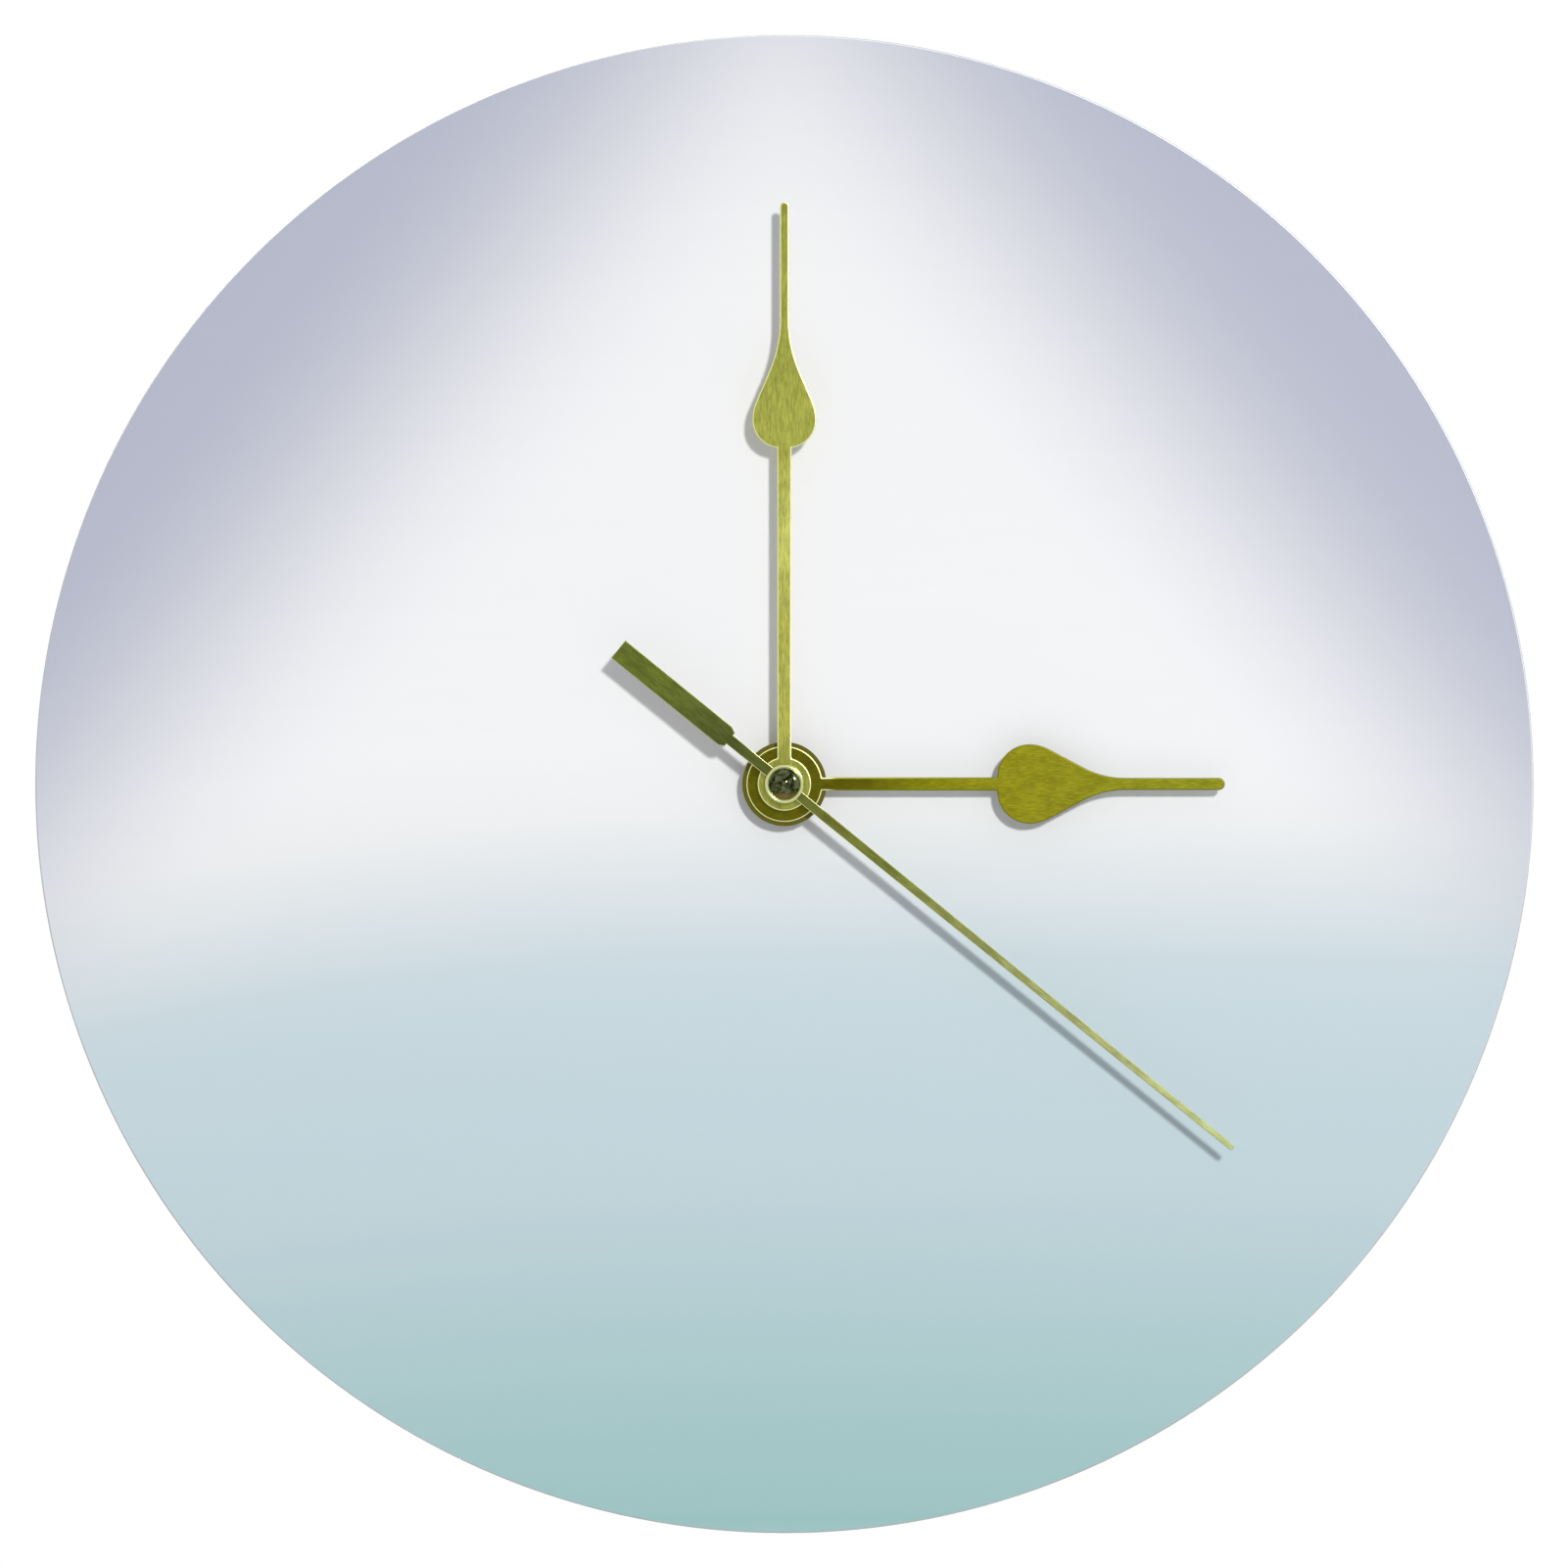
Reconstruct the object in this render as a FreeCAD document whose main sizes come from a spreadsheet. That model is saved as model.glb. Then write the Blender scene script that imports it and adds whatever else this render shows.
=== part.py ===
"""Round wall clock: a printed disc, spade hands and the quartz movement that turns them.

The dial stands upright and faces -Y, the wall is the plane Y = 0, and +Z is up.
The origin is where the axis of the hands meets the wall.  A depth is measured
forward from the wall, and an angle clockwise from twelve, as the clock is read.
"""
import FreeCAD, Part
import math
import os
import re
import Sketcher
from FreeCAD import Placement, Rotation, Vector

# Driving dimensions: lengths in millimetres, angles in degrees, plain counts and shares
SIZES = {
    # Dial and what clamps it
    "dial_diameter": 280,
    "dial_thick": 1.5,
    "bushing_diameter": 8,
    "thread_spare": 0.7,
    "slip_gap": 0.1,
    "gasket_width": 26,
    "gasket_thick": 1,
    "washer_diameter": 14,
    "washer_thick": 0.5,
    "nut_flats": 11,
    "nut_thick": 2,
    # Hanger behind the dial
    "hanger_width": 26,
    "hanger_thick": 0.8,
    "hanger_foot": 15,
    "hanger_over": 1.5,
    "hanger_setback": 4,
    "hanger_bend": 1.2,
    "hanger_corner": 4,
    "tab_height": 18,
    "keyhole_place": 7.5,
    "keyhole_diameter": 9,
    "keyhole_slot": 4,
    "keyhole_rise": 5,
    # Case of the movement
    "case_wall": 1.5,
    "front_wall": 1.2,
    "cover_thick": 1.2,
    "cover_lap": 0.8,
    "cover_gap": 0.1,
    "partition_thick": 1.2,
    "case_round": 2.5,
    "notch_width": 18,
    "notch_depth": 6,
    "board_room": 2.6,
    "bridge_thick": 1.2,
    "post_width": 3,
    "pin_width": 1.4,
    "rivet_length": 0.4,
    "inner_gap": 1,
    "coil_room": 1.7,
    "bridge_side_gap": 0.6,
    "bridge_end_gap": 0.4,
    "post_root": 0.3,
    # Battery and its contacts
    "battery_diameter": 14.5,
    "battery_length": 50.5,
    "nub_diameter": 5.5,
    "nub_length": 1,
    "battery_inset": 0.45,
    "battery_front_gap": 0.35,
    "battery_side_gap": 0.2,
    "contact_thick": 0.4,
    "contact_width": 5,
    "contact_gap": 0.05,
    "spring_room": 2.05,
    "spring_bend": 0.6,
    "solder_tab": 3,
    # Going train, from the rotor to the centre wheel
    "rotor_teeth": 6,
    "fifth_teeth": 30,
    "fifth_leaves": 6,
    "second_teeth": 36,
    "second_leaves": 6,
    "third_teeth": 45,
    "third_leaves": 6,
    "centre_teeth": 48,
    "train_distance": 7.6,
    "rotor_distance": 6,
    "third_bearing": 110,
    "fifth_bearing": 35,
    "rotor_bearing": 0,
    "wheel_thick": 0.9,
    "pivot_diameter": 0.8,
    "pivot_length": 0.8,
    "barrel_wall": 0.9,
    "running_gap": 0.05,
    "end_play": 0.2,
    # Motion works, from the minute pipe to the hour wheel
    "cannon_leaves": 6,
    "minute_teeth": 18,
    "minute_leaves": 6,
    "hour_teeth": 24,
    "motion_bearing": 270,
    "arbor_gap": 0.6,
    "setting_arbor": 1.6,
    "second_arbor_diameter": 0.9,
    "minute_pipe_diameter": 3.5,
    "hour_pipe_diameter": 5.1,
    # Tooth form, as shares of the module or of the tooth's pitch
    "addendum_share": 0.7,
    "dedendum_share": 1,
    "tooth_tip_share": 0.2,
    "tooth_root_share": 0.45,
    # Setting knob
    "knob_diameter": 10.6,
    "knob_height": 2.6,
    "knob_inset": 0.5,
    "knob_gap": 0.8,
    "knob_floor": 0.9,
    "knob_ribs": 16,
    # Stepping motor
    "magnet_diameter": 5,
    "magnet_length": 3,
    "magnet_gap": 0.7,
    "stator_thick": 1,
    "stator_ring": 1.2,
    "leg_width": 3.2,
    "leg_gap": 0.3,
    "core_thick": 0.8,
    "core_width": 3,
    "coil_length": 22,
    "coil_gap": 1,
    "flange_gap": 0.25,
    "flange_wall": 0.8,
    "bobbin_wall": 0.5,
    "winding_inset": 0.4,
    # Circuit board
    "board_thick": 0.8,
    "board_height": 8,
    "crystal_diameter": 1.5,
    "crystal_length": 5,
    "chip_diameter": 5,
    "chip_height": 0.9,
    # Hour hand
    "hour_angle": 90,
    "hand_gap": 0.2,
    "hour_boss": 14.2,
    "hour_flange": 15.7,
    "collet_wall": 1.2,
    "collet_length": 0.9,
    "collet_flange_thick": 0.5,
    "hour_thick": 0.5,
    "hour_stem": 2.45,
    "hour_base": 39.7,
    "hour_belly": 45.7,
    "hour_belly_width": 14.8,
    "hour_shoulder": 7.7,
    "hour_flank": 28,
    "hour_waist": 16.5,
    "hour_neck": 2.26,
    "hour_reach": 82.1,
    # Minute hand
    "minute_angle": 0,
    "minute_boss": 10,
    "minute_thick": 0.45,
    "minute_stem": 2.65,
    "minute_base": 62.6,
    "minute_belly": 67.8,
    "minute_belly_width": 11.9,
    "minute_shoulder": 8.8,
    "minute_flank": 23.3,
    "minute_waist": 25,
    "minute_neck": 1.65,
    "minute_reach": 108.4,
    "pipe_spare": 0.3,
    # Second hand
    "second_angle": 129.1,
    "second_thick": 0.4,
    "second_boss": 4.8,
    "second_root": 1.85,
    "second_tip": 1.15,
    "second_reach": 107.6,
    "tail_neck": 2,
    "tail_start": 13.1,
    "tail_bevel": 1.1,
    "tail_width": 4.2,
    "tail_reach": 39.8,
    "tube_length": 1.1,
    "tube_wall": 0.5,
    "cap_diameter": 7.3,
    "cap_rim": 0.5,
    "dome_diameter": 5.9,
    "dome_height": 1.5,
    # One overrun for every cut that leaves the piece
    "overrun": 1,
}

doc = FreeCAD.newDocument("RoundWallClock")
sheet = doc.addObject("Spreadsheet::Sheet", "sizes")
for row, (alias, number) in enumerate(SIZES.items(), start=1):
    sheet.set(f"A{row}", alias)
    sheet.set(f"B{row}", str(number))
    sheet.setAlias(f"B{row}", alias)
doc.recompute()


def value(text):
    """The number that an expression in the sheet's aliases stands for."""
    return float(sheet.evalExpression(text))


def bind(thing, name, text):
    """Tie a property to an expression in the sheet's aliases."""
    linked = re.sub(r"[a-z_]{2,}", lambda word: "sizes." + word[0] if word[0] in SIZES else word[0], text)
    thing.setExpression(name, linked)


# Depths, from the wall forward
COVER = "cover_thick"
BOARD_BACK = f"({COVER} + board_room)"
BRIDGE_BACK = f"({BOARD_BACK} + board_thick)"
BRIDGE_FRONT = f"({BRIDGE_BACK} + bridge_thick)"
BATTERY_DEPTH = "(battery_inset + battery_diameter / 2)"
FLOOR = "(battery_inset + battery_diameter + battery_front_gap)"
CASE_FRONT = f"({FLOOR} + front_wall)"
HANGER_FRONT = f"({CASE_FRONT} + hanger_thick)"
DIAL_BACK = f"({HANGER_FRONT} + gasket_thick)"
DIAL_FRONT = f"({DIAL_BACK} + dial_thick)"
WASHER_FRONT = f"({DIAL_FRONT} + washer_thick)"
NUT_FRONT = f"({WASHER_FRONT} + nut_thick)"
BUSHING_FRONT = f"({NUT_FRONT} + thread_spare)"
HOUR_COLLET_BACK = f"({BUSHING_FRONT} + hand_gap)"
HOUR_BACK = f"({HOUR_COLLET_BACK} + collet_length + collet_flange_thick)"
HOUR_FRONT = f"({HOUR_BACK} + hour_thick)"
MINUTE_COLLET_BACK = f"({HOUR_FRONT} + hand_gap)"
MINUTE_BACK = f"({MINUTE_COLLET_BACK} + collet_length + collet_flange_thick)"
MINUTE_FRONT = f"({MINUTE_BACK} + minute_thick)"
PIPE_FRONT = f"({MINUTE_FRONT} + pipe_spare)"
TUBE_BACK = f"({PIPE_FRONT} + hand_gap)"
SECOND_BACK = f"({TUBE_BACK} + tube_length)"
SECOND_FRONT = f"({SECOND_BACK} + second_thick)"

# Layers of wheels share the room between the bridge and the floor of the case, from the front
GEAR_ROOM = f"({FLOOR} - {BRIDGE_FRONT})"
LAYERS = 6
HOUR_LAYER, MINUTE_LAYER, CENTRE_LAYER, THIRD_LAYER, SECOND_LAYER, FIFTH_LAYER = range(LAYERS)


def layer(place):
    """Depth of a layer's middle, counted in layers from the floor of the case."""
    return f"({FLOOR} - ({place} + 0.5) * {GEAR_ROOM} / {LAYERS})"


def layer_back(place):
    return f"({layer(place)} - wheel_thick / 2)"


def layer_front(place):
    return f"({layer(place)} + wheel_thick / 2)"


def module(distance, teeth, others):
    """Module that brings two wheels into mesh at a distance."""
    return f"(2 * {distance} / ({teeth} + {others}))"


def outer_radius(size, teeth):
    return f"({size} * ({teeth} / 2 + addendum_share))"


ROTOR_MODULE = module("rotor_distance", "rotor_teeth", "fifth_teeth")
FIFTH_MODULE = module("train_distance", "fifth_leaves", "second_teeth")
SECOND_MODULE = module("train_distance", "second_leaves", "third_teeth")
THIRD_MODULE = module("train_distance", "third_leaves", "centre_teeth")
CENTRE_REACH = outer_radius(THIRD_MODULE, "centre_teeth")
MOTION_DISTANCE = f"({CENTRE_REACH} + arbor_gap + setting_arbor / 2)"
CANNON_MODULE = module(MOTION_DISTANCE, "cannon_leaves", "minute_teeth")
HOUR_MODULE = module(MOTION_DISTANCE, "minute_leaves", "hour_teeth")


def along(distance, bearing):
    """Place, across and up, at a distance from the axis of the hands along a bearing."""
    return f"({distance} * sin({bearing}))", f"({distance} * cos({bearing}))"


THIRD_X, THIRD_Z = along("train_distance", "third_bearing")
FIFTH_X, FIFTH_Z = along("train_distance", "fifth_bearing")
MOTION_X, MOTION_Z = along(MOTION_DISTANCE, "motion_bearing")
STEP_X, STEP_Z = along("rotor_distance", "rotor_bearing")
ROTOR_X = f"({FIFTH_X} + {STEP_X})"
ROTOR_Z = f"({FIFTH_Z} + {STEP_Z})"

# Stepping motor, at the height of the layers between the centre wheel and the floor
MAGNET_DEPTH = f"({FLOOR} - {GEAR_ROOM} / 2)"
STATOR_BACK = f"({MAGNET_DEPTH} - stator_thick / 2)"
STATOR_FRONT = f"({MAGNET_DEPTH} + stator_thick / 2)"
CORE_BACK = f"({STATOR_BACK} - core_thick)"
COIL_DEPTH = f"({STATOR_BACK} - core_thick / 2)"
FLANGE_RADIUS = f"({COIL_DEPTH} - {BRIDGE_FRONT} - flange_gap)"
STATOR_HOLE = "(magnet_diameter / 2 + magnet_gap)"
STATOR_LOW = f"({ROTOR_Z} - {STATOR_HOLE} - stator_ring)"
STATOR_HIGH = f"({ROTOR_Z} + {STATOR_HOLE} + stator_ring)"
COIL_Z = f"({STATOR_HIGH} + coil_gap + {FLANGE_RADIUS})"
LEG_INNER = "(coil_length / 2 + leg_gap)"
LEG_OUTER = f"({LEG_INNER} + leg_width)"
LEG_MIDDLE = f"({LEG_INNER} + leg_width / 2)"

# Outline of the case, seen from the front
INNER_HALF = "((battery_length + spring_room + contact_thick + contact_gap) / 2)"
CASE_HALF = f"({INNER_HALF} + case_wall)"
INNER_TOP = f"({COIL_Z} + {FLANGE_RADIUS} + coil_room)"
CASE_TOP = f"({INNER_TOP} + case_wall)"
THIRD_REACH = outer_radius(SECOND_MODULE, "third_teeth")
ROOM_LOW = f"({THIRD_Z} - {THIRD_REACH} - inner_gap)"
BAY_TOP = f"({ROOM_LOW} - partition_thick)"
BATTERY_Z = f"({BAY_TOP} - battery_side_gap - battery_diameter / 2)"
BAY_LOW = f"({BATTERY_Z} - battery_diameter / 2 - battery_side_gap)"
CASE_LOW = f"({BAY_LOW} - case_wall)"
COVER_LOW = f"({ROOM_LOW} - partition_thick / 2)"
COVER_HALF = f"({INNER_HALF} + cover_lap)"
COVER_TOP = f"({INNER_TOP} + cover_lap)"

# Bridge, its corner posts and the board behind it
BRIDGE_HALF = f"({INNER_HALF} - contact_thick - bridge_side_gap)"
BRIDGE_LOW = f"({ROOM_LOW} + bridge_end_gap)"
BRIDGE_TOP = f"({INNER_TOP} - bridge_end_gap)"
POST_X = f"({BRIDGE_HALF} - post_width / 2)"
POST_LOW = f"({BRIDGE_LOW} + post_width / 2)"
POST_TOP = f"({BRIDGE_TOP} - post_width / 2)"
KNOB_WELL = "(knob_diameter / 2 + knob_gap)"
BOARD_LOW = f"({MOTION_Z} + {KNOB_WELL} + cover_thick + inner_gap)"
BOARD_HIGH = f"({BOARD_LOW} + board_height)"
BOARD_HALF = f"({BRIDGE_HALF} - bridge_end_gap)"

# Hanger above the case
HANGER_MIDDLE = f"({CASE_FRONT} + hanger_thick / 2)"
HANGER_STEP = f"({CASE_TOP} + hanger_over + hanger_thick / 2)"
HANGER_TOP = f"({HANGER_STEP} + tab_height)"
KEYHOLE_Z = f"({HANGER_STEP} + keyhole_place)"

PIECES = []


def new_body(label, across="0", up="0", depth="0", turn=None):
    """A piece of the clock, standing at a place and turned clockwise about the axis of the hands."""
    piece = doc.addObject("PartDesign::Body", label)
    piece.Label = label
    angle = value(turn) if turn else 0
    spot = Vector(value(across), -value(depth), value(up))
    piece.Placement = Placement(spot, Rotation(Vector(0, 1, 0), angle))
    bind(piece, "Placement.Base.x", across)
    bind(piece, "Placement.Base.y", f"0 - {depth}")
    bind(piece, "Placement.Base.z", up)
    if turn:
        bind(piece, "Placement.Rotation.Angle", turn)
    PIECES.append(piece)
    return piece


def new_wheel(label, first, across="0", up="0"):
    """A toothed piece whose first tooth, drawn at three o'clock, is turned to a bearing."""
    return new_body(label, across, up, turn=f"({first} - 90)")


def new_sketch(piece, plane, offset="0"):
    """A sketch on one of the piece's own planes, moved along that plane's normal."""
    sketch = piece.newObject("Sketcher::SketchObject", piece.Label + "_sketch")
    base = [item for item in piece.Origin.OriginFeatures if item.Role == plane][0]
    sketch.AttachmentSupport = [(base, "")]
    sketch.MapMode = "FlatFace"
    bind(sketch, "AttachmentOffset.Base.z", offset)
    return sketch


def pin_point(sketch, index, end, across, up):
    """Hold one end of a line or arc, or a circle's centre, at a place."""
    for kind, text in (("DistanceX", across), ("DistanceY", up)):
        number = sketch.addConstraint(Sketcher.Constraint(kind, -1, 1, index, end, value(text)))
        bind(sketch, f"Constraints[{number}]", text)


def circle(sketch, across, up, radius):
    """A circle about a place."""
    centre = Vector(value(across), value(up), 0)
    index = sketch.addGeometry(Part.Circle(centre, Vector(0, 0, 1), value(radius)))
    pin_point(sketch, index, 3, across, up)
    number = sketch.addConstraint(Sketcher.Constraint("Radius", index, value(radius)))
    bind(sketch, f"Constraints[{number}]", radius)


def add_arc(sketch, start, end, radius, side):
    """An arc of under a half circle that bends to the left or right of its way; gives its two ends."""
    chord = end - start
    half = chord.Length / 2
    rise = math.sqrt(max(radius * radius - half * half, 0))
    normal = Vector(-chord.y, chord.x, 0).normalize()
    centre = (start + end) / 2 + normal * (rise if side == "left" else -rise)
    first, last = (start, end) if side == "left" else (end, start)
    angles = [math.atan2(point.y - centre.y, point.x - centre.x) for point in (first, last)]
    ring = Part.Circle(centre, Vector(0, 0, 1), radius)
    index = sketch.addGeometry(Part.ArcOfCircle(ring, angles[0], angles[1]))
    return (index, 1, 2) if side == "left" else (index, 2, 1)


def outline(sketch, steps):
    """A closed outline.  A step is a place, or a place with the radius and side of the arc that reaches it."""
    places = [Vector(value(step[0]), value(step[1]), 0) for step in steps]
    links = []
    for here in range(len(steps)):
        onward = (here + 1) % len(steps)
        step = steps[onward]
        if len(step) == 2:
            index = sketch.addGeometry(Part.LineSegment(places[here], places[onward]))
            links.append((index, 1, 2))
        else:
            link = add_arc(sketch, places[here], places[onward], value(step[2]), step[3])
            number = sketch.addConstraint(Sketcher.Constraint("Radius", link[0], value(step[2])))
            bind(sketch, f"Constraints[{number}]", step[2])
            links.append(link)
    for here, (index, first, _) in enumerate(links):
        before = links[here - 1]
        sketch.addConstraint(Sketcher.Constraint("Coincident", before[0], before[2], index, first))
        pin_point(sketch, index, first, steps[here][0], steps[here][1])


def rectangle(sketch, left, low, right, high):
    outline(sketch, [(left, low), (right, low), (right, high), (left, high)])


def rounded_rectangle(sketch, left, low, right, high, radius):
    """A rectangle with round corners."""
    outline(sketch, [
        (left, f"{low} + {radius}"),
        (f"{left} + {radius}", low, radius, "left"),
        (f"{right} - {radius}", low),
        (right, f"{low} + {radius}", radius, "left"),
        (right, f"{high} - {radius}"),
        (f"{right} - {radius}", high, radius, "left"),
        (f"{left} + {radius}", high),
        (left, f"{high} - {radius}", radius, "left"),
    ])


def square(sketch, across, up, half):
    """A square about a place."""
    rectangle(sketch, f"{across} - {half}", f"{up} - {half}", f"{across} + {half}", f"{up} + {half}")


def strip(sketch, corners, thick, bend):
    """The outline of a bent strip, from a centre line of level and upright runs."""
    places = [(value(across), value(up)) for across, up in corners]
    runs = []
    for (left, low), (right, high) in zip(places, places[1:]):
        runs.append(((right > left) - (right < left), (high > low) - (high < low)))
    normals = [(-up, across) for across, up in runs]

    def beside(corner, shift, back):
        """Text for a place beside a corner, by half the thickness and back along a run."""
        texts = []
        for axis in (0, 1):
            text = f"{corner[axis]} + {shift[axis]} * {thick} / 2"
            texts.append(text + (f" + {back[0][axis]} * {back[1]}" if back else ""))
        return tuple(texts)

    def flank(side):
        """Steps along one side of the strip, in the direction of the centre line."""
        steps = [beside(corners[0], [side * part for part in normals[0]], None)]
        for number in range(1, len(corners) - 1):
            before, after = runs[number - 1], runs[number]
            left_turn = before[0] * after[1] - before[1] * after[0] > 0
            inner = left_turn == (side > 0)
            radius = f"({bend} - {thick} / 2)" if inner else f"({bend} + {thick} / 2)"
            shift = [side * (first + second) for first, second in zip(normals[number - 1], normals[number])]
            entry = beside(corners[number], shift, ([-part for part in before], radius))
            leave = beside(corners[number], shift, (after, radius))
            steps.append((entry, leave, radius, left_turn))
        steps.append(beside(corners[-1], [side * part for part in normals[-1]], None))
        return steps

    right, left = flank(-1), flank(1)
    way = [right[0]]
    for entry, leave, radius, left_turn in right[1:-1]:
        way += [entry, (*leave, radius, "left" if left_turn else "right")]
    way += [right[-1], left[-1]]
    for entry, leave, radius, left_turn in reversed(left[1:-1]):
        way += [leave, (*entry, radius, "right" if left_turn else "left")]
    way.append(left[0])
    outline(sketch, way)


def add(piece, back, front, draw, plane="XZ_Plane"):
    """Material between two depths, from a sketch that draw fills in."""
    sketch = new_sketch(piece, plane, back)
    draw(sketch)
    pad = piece.newObject("PartDesign::Pad", piece.Label + "_pad")
    pad.Profile = sketch
    bind(pad, "Length", f"{front} - ({back})")
    piece.Tip = pad
    return pad


def cut(piece, back, front, draw, plane="XZ_Plane"):
    """A pocket between two depths, which has to take some material away."""
    doc.recompute()
    volume = piece.Shape.Volume
    sketch = new_sketch(piece, plane, front)
    draw(sketch)
    pocket = piece.newObject("PartDesign::Pocket", piece.Label + "_pocket")
    pocket.Profile = sketch
    bind(pocket, "Length", f"{front} - ({back})")
    piece.Tip = pocket
    doc.recompute()
    if piece.Shape.Volume >= volume:
        raise RuntimeError(piece.Label + ": a pocket takes nothing away")
    return pocket


def turned(piece, steps, plane="YZ_Plane"):
    """A turned solid, from steps of place along the axis and radius."""
    sketch = new_sketch(piece, plane)
    outline(sketch, steps)
    feature = piece.newObject("PartDesign::Revolution", piece.Label + "_turning")
    feature.Profile = sketch
    feature.ReferenceAxis = (sketch, ["H_Axis"])
    feature.Angle = 360
    piece.Tip = feature


def forward(depth):
    """Place along +Y of a depth."""
    return f"0 - {depth}"


def tube(piece, back, front, outer, inner=None):
    """A disc or a tube about the piece's own axis."""
    def draw(sketch):
        circle(sketch, "0", "0", outer)
        if inner:
            circle(sketch, "0", "0", inner)
    return add(piece, back, front, draw)


def ring_of(piece, feature, count):
    """Repeat a feature round the piece's axis."""
    pattern = piece.newObject("PartDesign::PolarPattern", piece.Label + "_pattern")
    pattern.Originals = [feature]
    pattern.Axis = (feature.Profile[0], ["N_Axis"])
    pattern.Angle = 360
    bind(pattern, "Occurrences", count)
    piece.Tip = pattern
    return pattern


def prism(piece, back, front, inner, sides):
    """A regular prism about the piece's axis, from the radius to its flats."""
    base = [item for item in piece.Origin.OriginFeatures if item.Role == "XZ_Plane"][0]
    solid = piece.newObject("PartDesign::AdditivePrism", piece.Label + "_prism")
    solid.AttachmentSupport = [(base, "")]
    solid.MapMode = "FlatFace"
    bind(solid, "AttachmentOffset.Base.z", back)
    bind(solid, "Polygon", sides)
    bind(solid, "Circumradius", f"({inner}) / cos(180 / {sides})")
    bind(solid, "Height", f"{front} - ({back})")
    piece.Tip = solid


def toothed(piece, back, front, size, teeth):
    """A toothed disc: flats between the roots and one tooth with straight flanks, repeated."""
    root = f"({size} * ({teeth} / 2 - dedendum_share))"
    tip = outer_radius(size, teeth)
    half_pitch = f"(pi * {size} / 2)"

    def draw_tooth(sketch):
        foot = f"{half_pitch} * tooth_root_share"
        crest = f"{half_pitch} * tooth_tip_share"
        sunk = f"{root} - {size} * addendum_share / 2"
        outline(sketch, [(sunk, f"0 - {foot}"), (tip, f"0 - {crest}"), (tip, crest), (sunk, foot)])

    prism(piece, back, front, root, teeth)
    tooth = add(piece, back, front, draw_tooth)
    return ring_of(piece, tooth, teeth)


def bore(piece, back, front, radius):
    """A round hole along the piece's axis, past both ends."""
    return cut(piece, f"({back} - overrun)", f"({front} + overrun)", lambda sketch: circle(
        sketch, "0", "0", radius))


def meshed(turn, teeth, others, bearing):
    """Turn of a wheel whose gap faces a tooth of the wheel before it, along the bearing between them."""
    return f"({bearing} + 180 - (0.5 - ({bearing} - ({turn})) * {teeth} / 360) * 360 / {others})"


ROTOR_TURN = "0"
FIFTH_TURN = meshed(ROTOR_TURN, "rotor_teeth", "fifth_teeth", "(rotor_bearing + 180)")
SECOND_TURN = meshed(FIFTH_TURN, "fifth_leaves", "second_teeth", "(fifth_bearing + 180)")
THIRD_TURN = meshed(SECOND_TURN, "second_leaves", "third_teeth", "third_bearing")
CENTRE_TURN = meshed(THIRD_TURN, "third_leaves", "centre_teeth", "(third_bearing + 180)")
CANNON_TURN = "minute_angle"
MINUTE_TURN = meshed(CANNON_TURN, "cannon_leaves", "minute_teeth", "motion_bearing")
HOUR_TURN = meshed(MINUTE_TURN, "minute_leaves", "hour_teeth", "(motion_bearing + 180)")

PIVOT = "pivot_diameter / 2"
SECOND_ARBOR = "second_arbor_diameter / 2"
BARREL = f"({SECOND_ARBOR} + running_gap + barrel_wall)"
MINUTE_PIPE = "minute_pipe_diameter / 2"
HOUR_PIPE = "hour_pipe_diameter / 2"
PIVOT_FRONT = f"({FLOOR} + pivot_length)"
PIVOT_BACK = f"({BRIDGE_FRONT} - pivot_length)"


def make_dial():
    """The printed disc, with the hole that the bushing passes through."""
    dial = new_body("dial_disc")
    tube(dial, DIAL_BACK, DIAL_FRONT, "dial_diameter / 2", "bushing_diameter / 2 + slip_gap")


def make_clamp():
    """Bushing, gasket, washer and nut, which hold the dial against the hanger."""
    bushing = new_body("centre_bushing")
    tube(bushing, FLOOR, BUSHING_FRONT, "bushing_diameter / 2", f"{HOUR_PIPE} + running_gap")
    gasket = new_body("rubber_gasket")

    def draw_gasket(sketch):
        half = "gasket_width / 2"
        rectangle(sketch, f"0 - {half}", f"0 - {half}", half, half)
        circle(sketch, "0", "0", "bushing_diameter / 2 + slip_gap")

    add(gasket, HANGER_FRONT, DIAL_BACK, draw_gasket)
    washer = new_body("dial_washer")
    tube(washer, DIAL_FRONT, WASHER_FRONT, "washer_diameter / 2", "bushing_diameter / 2 + slip_gap")
    nut = new_body("hex_nut")
    prism(nut, WASHER_FRONT, NUT_FRONT, "nut_flats / 2", "6")
    cut(nut, f"({WASHER_FRONT} - overrun)", f"({NUT_FRONT} + overrun)", lambda sketch: circle(
        sketch, "0", "0", "bushing_diameter / 2"))


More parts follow.
